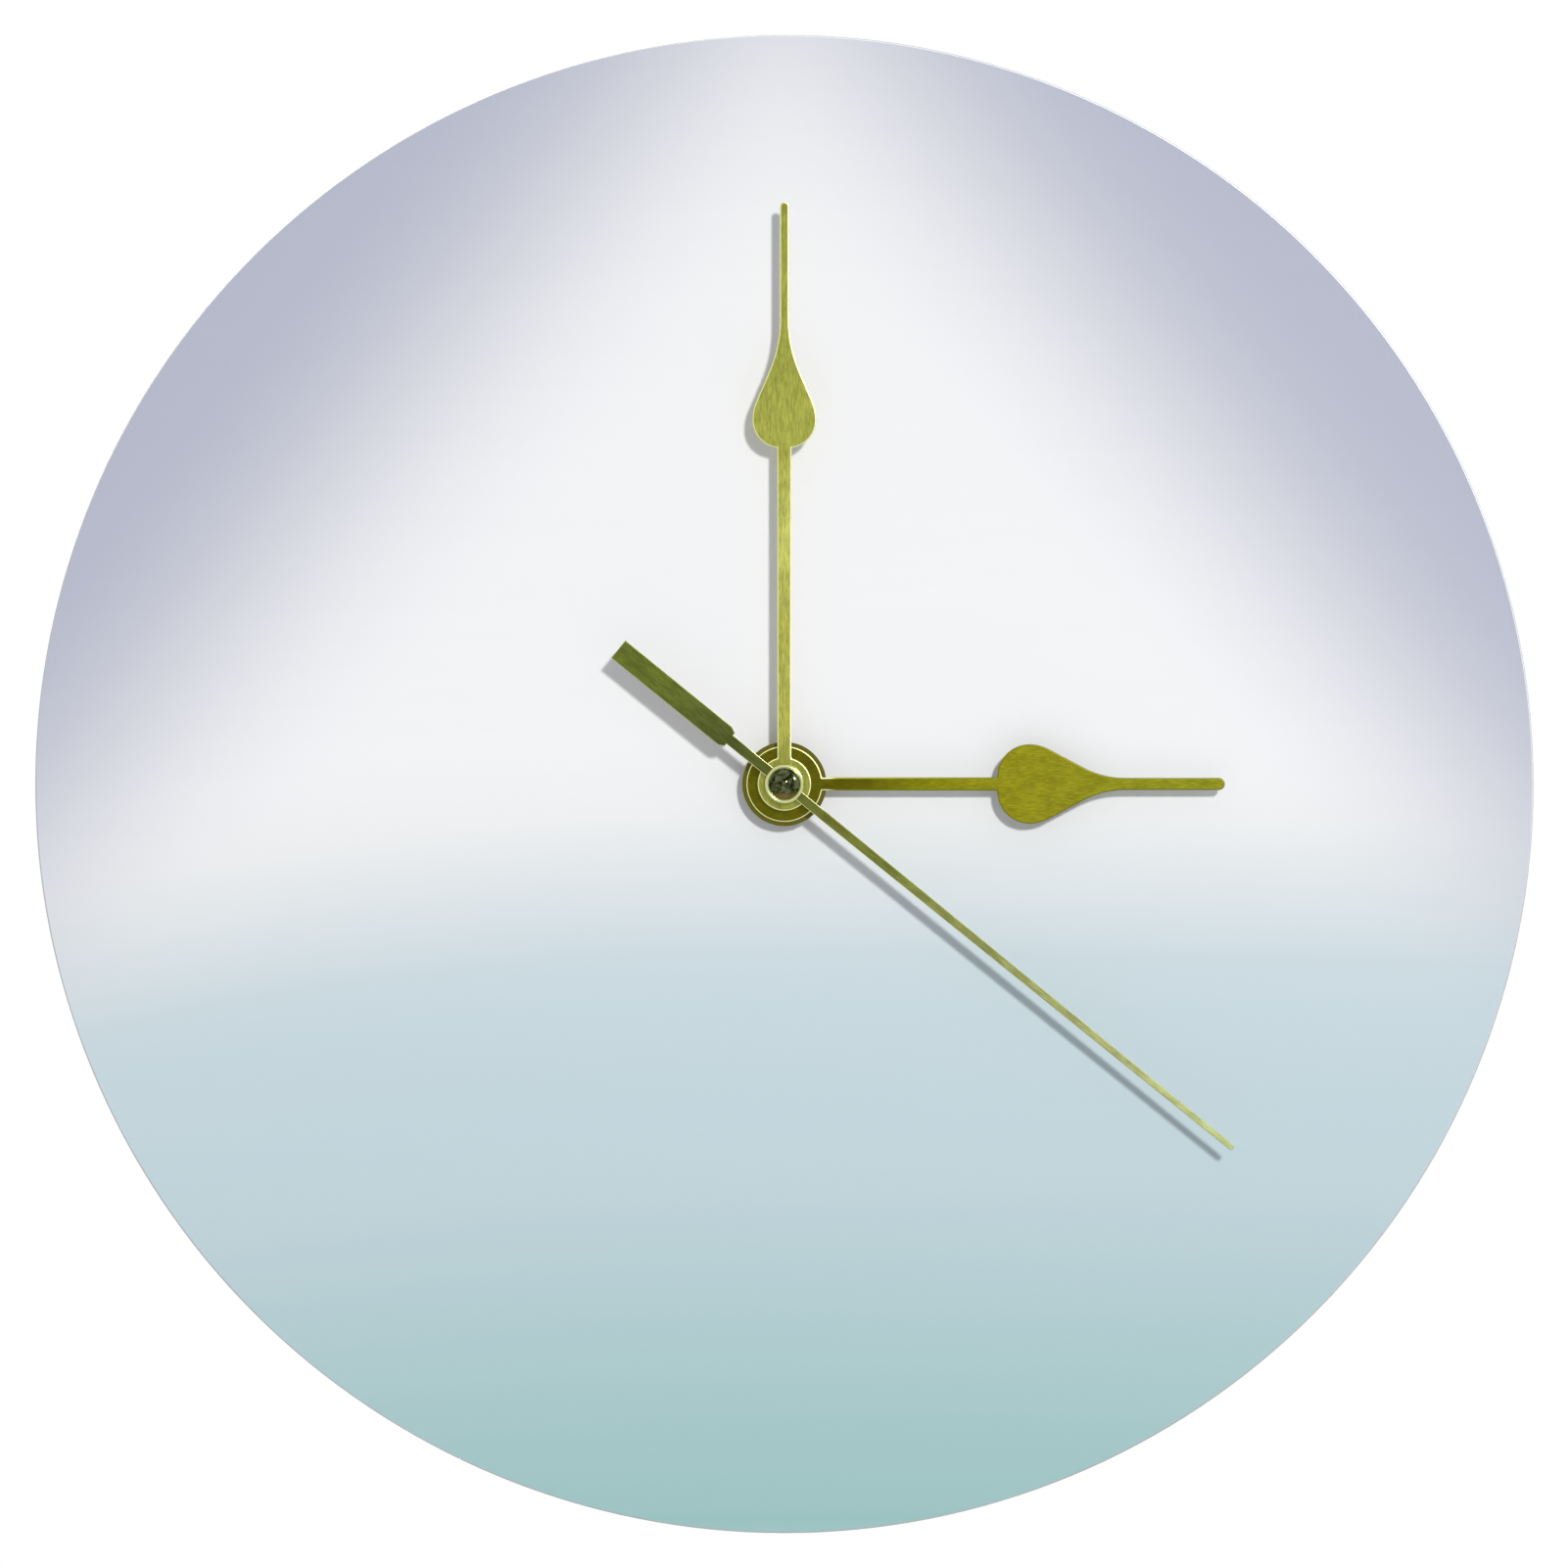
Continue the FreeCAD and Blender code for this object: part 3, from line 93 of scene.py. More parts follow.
class ClockSizes(bpy.types.PropertyGroup):
    """Small sizes that the CAD frame leaves to the looks."""
    dial_edge: length("Dial edge", "Radius that breaks the edge of the disc", 0.25)
    hand_edge: length("Hand edge", "Width of the bright cut along the edges of the two spade hands", 0.22)
    second_edge: length("Second hand edge", "Width of the broken edge of the second hand", 0.1)
    brush_width: length("Brush line", "Width of one brushed line, drawn coarse enough to show", 0.22)
    brush_length: length("Brush stroke", "Length of one brushed line", 1.8)
    sheet_edge: length("Sheet edge", "Radius on the edges of the hanger", 0.15)
    nut_edge: length("Nut edge", "Radius on the edges of the nut", 0.25)
    rubber_edge: length("Rubber edge", "Radius on the edges of the gasket", 0.15)
    mould_edge: length("Mould edge", "Radius on the edges of the case", 0.35)
    cover_edge: length("Cover edge", "Radius on the edges of the rear cover", 0.12)
    cover_rim: length("Cover rim", "Width of the rim round the sunk panel of the rear cover", 1.1)
    cover_sink: length("Cover sink", "Depth of the sunk panel of the rear cover", 0.3)
    hook_edge: length("Hook edge", "Radius on the edges of the snap hooks", 0.2)
    knob_edge: length("Knob edge", "Radius on the edges of the setting knob", 0.15)
    thread_pitch: length("Thread pitch", "Pitch of the fine thread on the bushing", 0.75)
    floor_drop: length("Floor", "Depth of the floor below the clock's middle", 360.0)
    dial_steps: IntProperty(name="Dial steps", description="Steps round the disc", default=256, min=32)
    turn_steps: IntProperty(name="Turned steps", description="Steps round a turned piece", default=96, min=16)


class ClockColours(bpy.types.PropertyGroup):
    """Main colours of the clock, as linear values of the named sRGB shades."""
    snow: colour("Snow", "Bright middle of the print", "#F7F7F7")
    lavender: colour("Lavender", "Upper shoulders of the print", "#BBBECD")
    mist: colour("Mist", "Horizon of the print", "#EBEEEE")
    haze: colour("Haze", "Just under the horizon of the print", "#CFDDE1")
    shallows: colour("Shallows", "Lower half of the print", "#BED3D7")
    teal: colour("Teal", "Foot of the print", "#9FC4C2")
    # The three brass tones are one brass painted lighter or darker per hand: painted reflection
    minute: colour("Minute brass", "Stem of the minute hand", "#9D9D4A")
    hour: colour("Hour brass", "Spade of the hour hand", "#827F1A")
    second: colour("Second brass", "Counterweight of the second hand", "#5D6629")
    # The cut edge's pale colour is a painted highlight
    edge: colour("Cut edge", "Bright edges of the hands", "#DADCA0")
    # The dome's dark colour is a painted reflection of dark surroundings
    dome: colour("Dome", "Dark polished dome of the cap", "#3E4629")
    plastic: colour("Case", "Moulding of the case", "#1C1D1F")


def clean_mesh(shape, name, sharp=12):
    """A mesh from a bmesh with its faces outward, smooth but for bends over an angle in degrees."""
    bmesh.ops.remove_doubles(shape, verts=shape.verts, dist=JOIN)
    bmesh.ops.recalc_face_normals(shape, faces=shape.faces)
    mesh = bpy.data.meshes.new(name)
    shape.to_mesh(mesh)
    shape.free()
    carried = mesh.attributes.get("custom_normal")
    if carried:
        mesh.attributes.remove(carried)
    for face in mesh.polygons:
        face.use_smooth = True
    mesh.set_sharp_from_angle(angle=math.radians(sharp))
    return mesh


def break_edges(shape, width, steps=3, material=-1):
    """Rounds the edges of a shape, and gives the shape back."""
    bmesh.ops.recalc_face_normals(shape, faces=shape.faces)
    edges = [edge for edge in shape.edges if edge.calc_face_angle(0.0) > BEND]
    bmesh.ops.bevel(shape, geom=edges, offset=width, segments=steps, profile=0.5, affect="EDGES",
                    material=material, clamp_overlap=True)
    return shape


def flat_shape(node):
    """A clean copy of a CAD node, its loose triangles joined into flat faces."""
    shape = bmesh.new()
    shape.from_mesh(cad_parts[node].data)
    bmesh.ops.remove_doubles(shape, verts=shape.verts, dist=JOIN)
    bmesh.ops.dissolve_limit(shape, angle_limit=FLAT, verts=shape.verts, edges=shape.edges)
    return shape


def broken_mesh(node, name, width, steps=2):
    """The mesh of a CAD node with rounded edges."""
    return clean_mesh(break_edges(flat_shape(node), width, steps), name)


def turned_mesh(name, profile, steps, closed=True, axis=(0, 1, 0), middle=(0, 0, 0)):
    """A turned form from places along an axis and radii, in millimetres; forward is -Y for the axis +Y."""
    shape = bmesh.new()
    points = []
    for along, radius in profile:
        spot = Vector((radius, -along, 0)) if axis[1] else Vector((along, 0, radius))
        points.append(shape.verts.new(spot * MM + Vector(middle)))
    edges = [shape.edges.new(pair) for pair in zip(points, points[1:])]
    if closed:
        edges.append(shape.edges.new((points[-1], points[0])))
    bmesh.ops.spin(shape, geom=points + edges, cent=middle, axis=axis, angle=math.tau, steps=steps,
                   use_merge=True, use_duplicate=False)
    return clean_mesh(shape, name, sharp=35)


def depths(node):
    """How far the rear and the front of a CAD node stand off the wall, in millimetres."""
    low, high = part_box(node)
    return -high.y / MM, -low.y / MM


def collar(back, front, bore, outer):
    """Profile of a plain tube with a broken corner at its rear."""
    corner = 0.1
    return [(front, bore), (front, outer), (back + corner, outer), (back, outer - corner), (back, bore)]


def place_piece(mesh, body, slot, materials, *nodes):
    """A finished piece that rides on a body and stands for CAD nodes; its slot is not used."""
    piece = bpy.data.objects.new(mesh.name, mesh)
    bpy.context.scene.collection.objects.link(piece)
    for material in materials:
        mesh.materials.append(material)
    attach(piece, body)
    if nodes:
        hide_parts(*nodes)


def new_material(name):
    """An empty material; gives it, its node tree and its shader."""
    made = bpy.data.materials.new(name)
    made.use_nodes = True
    tree = made.node_tree
    tree.nodes.clear()
    output = tree.nodes.new("ShaderNodeOutputMaterial")
    shader = tree.nodes.new("ShaderNodeBsdfPrincipled")
    tree.links.new(shader.outputs[0], output.inputs[0])
    return made, tree, shader


def feed(tree, node, inputs):
    """Sets the inputs of a node to plain values, or links them to the outputs that feed them."""
    for key, item in inputs.items():
        if isinstance(item, bpy.types.NodeSocket):
            tree.links.new(item, node.inputs[key])
        else:
            node.inputs[key].default_value = item


def add_node(tree, kind, inputs=None, stops=(), out=0, **settings):
    """One node with its inputs, the stops of its colour ramp and its settings; gives one of its outputs."""
    made = tree.nodes.new("ShaderNode" + kind)
    for key, item in settings.items():
        setattr(made, key, item)
    feed(tree, made, inputs or {})
    if stops:
        ramp = made.color_ramp
        while len(ramp.elements) < len(stops):
            ramp.elements.new(1.0)
        for element, (place, shade) in zip(ramp.elements, stops):
            element.position = place
            element.color = shade
    return made.outputs[out]


def dress(tree, shader, inputs, rough=None, bump=None):
    """Feeds the main shader of a material.

    Rough is a pattern with the roughness at its least and its most. Bump is a pattern with the strength and
    the depth, in millimetres, of the relief that it makes.
    """
    feed(tree, shader, inputs)
    if rough:
        pattern, least, most = rough
        varied = add_node(tree, "MapRange", {"Value": pattern, "To Min": least, "To Max": most})
        tree.links.new(varied, shader.inputs["Roughness"])
    if bump:
        pattern, strength, depth = bump
        relief = add_node(tree, "Bump", {"Strength": strength, "Distance": depth * MM, "Height": pattern})
        tree.links.new(relief, shader.inputs["Normal"])


def hand_place(tree, turn):
    """Object coordinates turned about the hands' axis, so that a hand lies along Z."""
    spot = add_node(tree, "TexCoord", out="Object")
    return add_node(tree, "VectorRotate", {"Vector": spot, "Angle": -turn}, rotation_type="Y_AXIS")


def far_out(tree, kept):
    """Distance from the origin in metres, over the directions that are kept."""
    spot = add_node(tree, "TexCoord", out="Object")
    flat = add_node(tree, "Mapping", {"Vector": spot, "Scale": kept})
    return add_node(tree, "VectorMath", {0: flat}, out="Value", operation="LENGTH")


def grain(tree, size, turn=None, detail=2.0, roughness=0.5):
    """Noise whose cell has a size in millimetres along X, Y and Z, or along a hand that has turned."""
    spot = add_node(tree, "TexCoord", out="Object") if turn is None else hand_place(tree, turn)
    scaled = add_node(tree, "Mapping", {"Vector": spot, "Scale": [1 / (item * MM) for item in size]})
    return add_node(tree, "TexNoise", {"Vector": scaled, "Scale": 1.0, "Detail": detail,
                                       "Roughness": roughness})


def blended(tree, first, second, share):
    """Two patterns as one, of which the first has a share and the second the rest."""
    rest = add_node(tree, "Math", {0: second, 1: 1 - share}, operation="MULTIPLY")
    return add_node(tree, "Math", {0: first, 1: share, 2: rest}, operation="MULTIPLY_ADD")


def looked_at(tree):
    """One where the camera looks, also in a mirror or through glass, and none where light is gathered."""
    path = add_node(tree, "LightPath").node.outputs
    direct = add_node(tree, "Math", {0: path["Is Camera Ray"], 1: path["Is Glossy Ray"]}, operation="ADD")
    return add_node(tree, "Math", {0: direct, 1: path["Is Transmission Ray"]}, operation="ADD",
                    use_clamp=True)


def printed_aluminium(colours):
    """Aluminium sheet dye-printed under a satin clear coat: smooth colour, a soft broad sheen, no texture."""
    made, tree, shader = new_material("dye_printed_aluminium")
    # The print is laid out in radii of the disc. Its horizon slants and bows, and its shoulders lean outwards
    # and darken from an inner limit to an outer one.
    slant, bow, lean, soft_corner = -0.05, 0.07, 0.82, 0.0025
    foot, horizon, inner, outer = -1.0, 0.06, 0.56, 1.29
    spot = add_node(tree, "TexCoord", out="Object")
    scaled = add_node(tree, "Mapping", {"Vector": spot, "Scale": [1 / DIAL_RADIUS] * 3})
    split = add_node(tree, "SeparateXYZ", {"Vector": scaled}).node
    across, up = split.outputs["X"], split.outputs["Z"]
    squared = add_node(tree, "Math", {0: across, 1: across}, operation="MULTIPLY")
    softened = add_node(tree, "Math", {0: squared, 1: soft_corner}, operation="ADD")
    aside = add_node(tree, "Math", {0: softened, 1: 0.5}, operation="POWER")
    signed = add_node(tree, "Math", {0: across, 1: aside}, operation="MULTIPLY")
    leaning = add_node(tree, "Math", {0: signed, 1: slant, 2: up}, operation="MULTIPLY_ADD")
    bowed = add_node(tree, "Math", {0: squared, 1: bow, 2: leaning}, operation="MULTIPLY_ADD")
    height = add_node(tree, "MapRange", {"Value": bowed, "From Min": foot, "From Max": horizon})
    lower = add_node(tree, "ValToRGB", {"Fac": height}, [
        (0.03, colours.teal), (0.4, colours.shallows), (0.73, colours.haze), (0.87, colours.mist),
        (1.0, colours.snow)], label="below the horizon")
    lower.node.color_ramp.interpolation = "CARDINAL"
    beam = add_node(tree, "Math", {0: up, 1: lean, 2: aside}, operation="MULTIPLY_ADD")
    shoulder = add_node(tree, "MapRange", {"Value": beam, "From Min": inner, "From Max": outer},
                        interpolation_type="SMOOTHERSTEP")
    shade = add_node(tree, "Mix", {"Factor": shoulder, 6: lower, 7: colours.lavender}, out=2,
                     data_type="RGBA")
    ripple = grain(tree, (90, 1000, 4), detail=3.0)
    faint = add_node(tree, "MapRange", {"Value": ripple, "To Min": 0.99, "To Max": 1.01})
    wash = add_node(tree, "HueSaturation", {"Color": shade, "Value": faint})
    dress(tree, shader, {"Base Color": wash, "Roughness": 0.6, "Specular IOR Level": 0.12})
    return made


def rolled_aluminium():
    """Cut edge and bare back of rolled aluminium sheet: pale, with fine level roll lines."""
    made, tree, shader = new_material("rolled_aluminium")
    lines = grain(tree, (30, 0.3, 0.3), detail=3.0)
    mixed = blended(tree, grain(tree, (50, 50, 30)), lines, 0.55)
    tone = add_node(tree, "ValToRGB", {"Fac": mixed}, [(0.25, linear("#A9ABAE")), (0.75, linear("#BDBFC1"))])
    dress(tree, shader, {"Base Color": tone, "Metallic": 1.0}, (mixed, 0.36, 0.46), (lines, 0.08, 0.005))
    return made


def brushed_brass_painted_reflection(name, sizes, turn, tones):
    """Sheet brass brushed along the hand: fine streaks over tones of painted reflection that change along it.

    A tone is a place along the hand, in millimetres from its axis, and a colour of painted reflection.
    """
    made, tree, shader = new_material(name)
    width = sizes.brush_width / MM
    strokes = grain(tree, (width, width, sizes.brush_length / MM), turn, detail=4.0, roughness=0.65)
    blend = blended(tree, grain(tree, (2.5, 2.5, 4), turn), strokes, 0.35)
    along = add_node(tree, "SeparateXYZ", {"Vector": hand_place(tree, turn)}, out="Z")
    first, last = tones[0][0], tones[-1][0]
    share = add_node(tree, "MapRange", {"Value": along, "From Min": first * MM, "From Max": last * MM})
    # Painted reflection: the brass is darker or lighter along the hand, standing in for what it mirrors
    painted_light_drift = add_node(tree, "ValToRGB", {"Fac": share}, [
        ((place - first) / (last - first), shade) for place, shade in tones])
    streak = add_node(tree, "MapRange", {"Value": blend, "From Min": 0.4, "From Max": 0.6,
                                         "To Min": 0.8, "To Max": 1.2})
    tone = add_node(tree, "HueSaturation", {"Color": painted_light_drift, "Value": streak})
    dress(tree, shader, {"Base Color": tone, "Metallic": 1.0}, (strokes, 0.14, 0.24), (strokes, 0.2, 0.004))
    return made


def sheared_brass_painted_highlight(name, near, far):
    """Sheared edge of sheet brass, a painted highlight: a bright line, pale round the boss and of another
    tone along the hand.
    """
    made, tree, shader = new_material(name)
    boss, stem = 7.6 * MM, 10 * MM
    away = far_out(tree, FROM_AXIS)
    share = add_node(tree, "MapRange", {"Value": away, "From Min": boss, "From Max": stem},
                     interpolation_type="SMOOTHSTEP")
    # Painted highlight: pale near the boss, then the hand's painted highlight or shade tone further out
    painted_light_drift = add_node(tree, "Mix", {"Factor": share, 6: near, 7: far}, out=2, data_type="RGBA")
    spots = grain(tree, (0.4, 0.4, 0.4))
    mottle = add_node(tree, "MapRange", {"Value": spots, "To Min": 0.8, "To Max": 1.15})
    tone = add_node(tree, "HueSaturation", {"Color": painted_light_drift, "Value": mottle})
    dress(tree, shader, {"Base Color": tone, "Metallic": 1.0}, (spots, 0.34, 0.46))
    return made


def turned_brass(name, dark, light, rough=0.25):
    """Brass turned on a lathe: fine rings about the axis of the hands."""
    made, tree, shader = new_material(name)
    ring = 0.12 * MM
    count = add_node(tree, "Math", {0: far_out(tree, FROM_AXIS), 1: ring}, operation="DIVIDE")
    rings = add_node(tree, "TexNoise", {"W": count, "Scale": 1.0, "Detail": 2.0}, noise_dimensions="1D")
    tone = add_node(tree, "ValToRGB", {"Fac": rings}, [(0.3, linear(dark)), (0.7, linear(light))])
    dress(tree, shader, {"Base Color": tone, "Metallic": 1.0}, (rings, rough * 0.8, rough * 1.3),
          (rings, 0.2, 0.01))
    return made


def polished_nickel_painted_reflection(colours):
    """Polished dome whose colour is a painted reflection: a dark green-grey mirror, clouded, warm low down.
    """
    made, tree, shader = new_material("nickel_dome_painted_reflection")
    # Painted reflection: dark clouds stand for the dark room the dome mirrors
    painted_reflection_clouds = grain(tree, (0.9, 0.9, 0.9), detail=3.0)
    tone = add_node(tree, "ValToRGB", {"Fac": painted_reflection_clouds}, [
        (0.4, linear("#1D210C")), (0.5, colours.dome), (0.6, linear("#60654A"))])
    # Painted reflection of the brass hands, warm on the dome's lower part
    top, full, most = -1.2 * MM, -2.4 * MM, 0.8
    height = add_node(tree, "SeparateXYZ", {"Vector": add_node(tree, "TexCoord", out="Object")}, out="Z")
    patch = add_node(tree, "MapRange", {"Value": height, "From Min": top, "From Max": full, "To Max": most},
                     interpolation_type="SMOOTHSTEP")
    warm = add_node(tree, "Mix", {"Factor": patch, 6: tone, 7: linear("#7C6A38")}, out=2, data_type="RGBA")
    dress(tree, shader, {"Base Color": warm, "Metallic": 1.0, "Roughness": 0.07})
    return made


def zinc_steel():
    """Zinc-plated sheet steel: cool grey with a faint spangle and roll lines."""
    made, tree, shader = new_material("zinc_plated_steel")
    spangle = add_node(tree, "TexVoronoi", {"Vector": add_node(tree, "TexCoord", out="Object"),
                                            "Scale": 1 / (1.6 * MM)}, out="Color", feature="F1")
    lines = grain(tree, (0.3, 0.3, 9), detail=3.0)
    mixed = blended(tree, add_node(tree, "RGBToBW", {"Color": spangle}), lines, 0.4)
    tone = add_node(tree, "ValToRGB", {"Fac": mixed}, [(0.25, linear("#A3A7AA")), (0.75, linear("#C9CDCF"))])
    dress(tree, shader, {"Base Color": tone, "Metallic": 1.0}, (mixed, 0.26, 0.42), (lines, 0.15, 0.01))
    return made


def moulded_plastic(name, shade, light, grit=0.12, rough=0.5, depth=0.02):
    """Moulded plastic, or rubber or board like it: a sheen that grit of a size in millimetres dulls."""
    made, tree, shader = new_material(name)
    spots = grain(tree, (grit, grit, grit), detail=3.0)
    wide = add_node(tree, "MapRange", {"Value": grain(tree, (9, 9, 9), detail=1.0), "To Min": 0.2,
                                       "To Max": 0.8})
    tone = add_node(tree, "Mix", {"Factor": wide, 6: shade, 7: light}, out=2, data_type="RGBA")
    dress(tree, shader, {"Base Color": tone, "IOR": 1.5}, (spots, rough - 0.08, rough + 0.1),
          (spots, 0.3, depth))
    return made


def worked_metal(name, dark, light, size, rough):
    """Stamped, ground, drawn or plated metal: a cool sheen under marks of a size in millimetres each way."""
    made, tree, shader = new_material(name)
    marks = grain(tree, size, detail=3.0)
    tone = add_node(tree, "ValToRGB", {"Fac": marks}, [(0.3, linear(dark)), (0.7, linear(light))])
    dress(tree, shader, {"Base Color": tone, "Metallic": 1.0}, (marks, rough * 0.8, rough * 1.25),
          (marks, 0.15, 0.01))
    return made


def wound_wire():
    """Enamelled copper wire laid in close turns, drawn at twice its real 0.1 mm so that it shows."""
    made, tree, shader = new_material("enamelled_copper_wire")
    wire, wave = 0.2 * MM, 20
    turns = add_node(tree, "TexWave", {"Vector": add_node(tree, "TexCoord", out="Object"),
                                       "Scale": 1 / wire / wave, "Distortion": 0.6, "Detail": 1.0},
                     out=1, wave_type="BANDS", bands_direction="X")
    tone = add_node(tree, "ValToRGB", {"Fac": turns}, [(0.2, linear("#6E2F14")), (0.8, linear("#B8642F"))])
    dress(tree, shader, {"Base Color": tone, "Metallic": 0.8, "Roughness": 0.35, "Coat Weight": 0.5,
                         "Coat Roughness": 0.15}, bump=(turns, 0.6, 0.05))
    return made


def cell_sleeve(middle):
    """Printed plastic sleeve of a dry cell: glossy graphite, a pale ring and a blue-green plus end."""
    made, tree, shader = new_material("printed_cell_sleeve")
    graphite, silver, blue = linear("#2B2F36"), linear("#C7CACC"), linear("#3F6F78")
    half = 24 * MM
    along = add_node(tree, "SeparateXYZ", {"Vector": add_node(tree, "TexCoord", out="Object")}, out="X")
    share = add_node(tree, "MapRange", {"Value": along, "From Min": middle - half, "From Max": middle + half})
    band = add_node(tree, "ValToRGB", {"Fac": share}, [
        (0.0, graphite), (0.71, graphite), (0.715, silver), (0.735, silver), (0.74, blue), (1.0, blue)])
    dress(tree, shader, {"Base Color": band, "Coat Weight": 0.4, "Coat Roughness": 0.15},
          (grain(tree, (6, 6, 6)), 0.3, 0.4))
    return made


class CLOCK_OT_dial(bpy.types.Operator):
    """Make the printed disc with its broken edge"""
    bl_idname = "clock.dial"
    bl_label = "Printed disc"

    def execute(self, context):
        sizes, colours = context.scene.clock_sizes, context.scene.clock_colours
        back, front = depths("dial_disc")
        # The disc stays a hair inside the CAD box, and the middle of its rounded corner stands in by a share
        hair, share = 0.002, 0.29
        outer, edge = DIAL_RADIUS / MM - hair, sizes.dial_edge / MM
        cut = share * edge
        mesh = turned_mesh("printed_disc", [
            (front, CLAMP_HOLE), (front, outer - edge), (front - cut, outer - cut), (front - edge, outer),
            (back + edge, outer), (back + cut, outer - cut), (back, outer - edge), (back, CLAMP_HOLE)],
            sizes.dial_steps)
        for face in mesh.polygons:
            face.material_index = 0 if face.normal.y < -FACING else 1
        place_piece(mesh, "case", "printed_aluminium", [printed_aluminium(colours), rolled_aluminium()],
                    "dial_disc")
        return {"FINISHED"}


class CLOCK_OT_hands(bpy.types.Operator):
    """Make the hour, minute and second hands with their bright edges"""
    bl_idname = "clock.hands"
    bl_label = "Hands"

    def execute(self, context):
        sizes, colours = context.scene.clock_sizes, context.scene.clock_colours
        # Each hand's CAD node, slot, angle, width and painted tone of its cut edge, and painted reflection
        # tones by place
        looks = {
            "hour": ("hour_hand", "hour_brass", HOUR_ANGLE, sizes.hand_edge, linear("#76751F"), [
                (14, linear("#54510D")), (28, linear("#797913")), (40, colours.hour),
                (82, linear("#7E8020"))]),
            "minute": ("minute_hand", "minute_brass", MINUTE_ANGLE, sizes.hand_edge, colours.edge, [
                (4, linear("#86873A")), (8, colours.minute), (30, colours.minute), (46, linear("#ACAF5B")),
                (62, linear("#929442")), (108, linear("#868B3E"))]),
            "second": ("second_hand", "second_brass", SECOND_ANGLE, sizes.second_edge, linear("#989D5E"), [
                (-32, colours.second), (-12, linear("#4A5127")), (10, linear("#60642B")),
                (25, linear("#6A7034")), (85, linear("#A4A871")), (108, linear("#A9B47B"))]),
        }
        # rim is the painted highlight or shade tone of the cut edge away from the boss
        for name, (node, slot, turn, width, rim, tones) in looks.items():
            shape = flat_shape(node)
            for side in shape.faces:
                side.material_index = 0 if side.normal.y < -FACING else 1
            mesh = clean_mesh(break_edges(shape, width, material=1), name + "_hand_brushed")
            face = brushed_brass_painted_reflection(slot + "_brushed", sizes, turn, tones)
            edge = sheared_brass_painted_highlight(slot + "_sheared_painted_highlight", colours.edge, rim)
            place_piece(mesh, node, slot, [face, edge], node)
        return {"FINISHED"}


class CLOCK_OT_hub(bpy.types.Operator):
    """Make the collets, the second hand's tube and the domed cap"""
    bl_idname = "clock.hub"
    bl_label = "Hub"

    def execute(self, context):
        sizes, colours = context.scene.clock_sizes, context.scene.clock_colours
        steps = sizes.turn_steps
        dark = turned_brass("turned_dark_brass", "#3C3A12", "#5A5718")
        back, front = depths("hour_collet")
        bore, pipe, flange, thick, corner = 2.56, 3.75, 7.84, 0.5, 0.1
        under = front - thick
        mesh = turned_mesh("hour_collet_turned", [
            (front, bore), (front, flange - 0.8 * corner), (front - 0.8 * corner, flange),
            (under + corner, flange), (under, flange - corner), (under, pipe), (back + corner, pipe),
            (back, pipe - corner), (back, bore)], steps)
        place_piece(mesh, "hour_hand", "turned_brass", [dark], "hour_collet")
        mesh = turned_mesh("minute_collet_turned", collar(*depths("minute_collet"), 1.76, 2.94), steps)
        place_piece(mesh, "minute_hand", "turned_brass", [dark], "minute_collet")
        mesh = turned_mesh("second_tube_drawn", collar(*depths("second_tube"), 0.46, 0.94), steps)
        place_piece(mesh, "second_hand", "turned_brass", [dark], "second_tube")
        self.make_cap(colours, steps)
        return {"FINISHED"}

    def make_cap(self, colours, steps):
        """The cap: a rolled rim, then a groove, then a dome that is part of a ball."""
        back, front = depths("second_cap")
        rim, dome, foot, groove, gap = 3.64, 2.95, 0.5, 0.36, 0.05
        # Places on the rolled rim, as heights over its back and how far in they are, in millimetres
        rolled = ((0.0, 0.08), (0.05, 0.02), (0.14, 0.0), (0.3, 0.04), (0.43, 0.16), (0.49, 0.32),
                  (0.46, 0.5))
        rise = front - back - foot
        ball = (dome ** 2 + rise ** 2) / 2 / rise
        rings = 12
        angles = [math.asin(dome / ball) * (1 - ring / rings) for ring in range(1, rings + 1)]
        profile = [(back, 0.0)] + [(back + height, rim - inset) for height, inset in rolled]
        profile += [(back + groove, dome + gap), (back + foot, dome)]
        profile += [(front - ball + ball * math.cos(angle), ball * math.sin(angle)) for angle in angles]
        mesh = turned_mesh("second_cap_domed", profile, steps, closed=False)
        for face in mesh.polygons:
            across, height = math.hypot(face.center.x, face.center.z), -face.center.y
            face.material_index = 1 if across < dome * MM and height > (back + foot - gap) * MM else 0
        bright = turned_brass("polished_brass_rim", "#B0B47A", "#D8DBA4", rough=0.13)
        place_piece(mesh, "second_hand", "polished_cap", [bright, polished_nickel_painted_reflection(colours)], "second_cap")


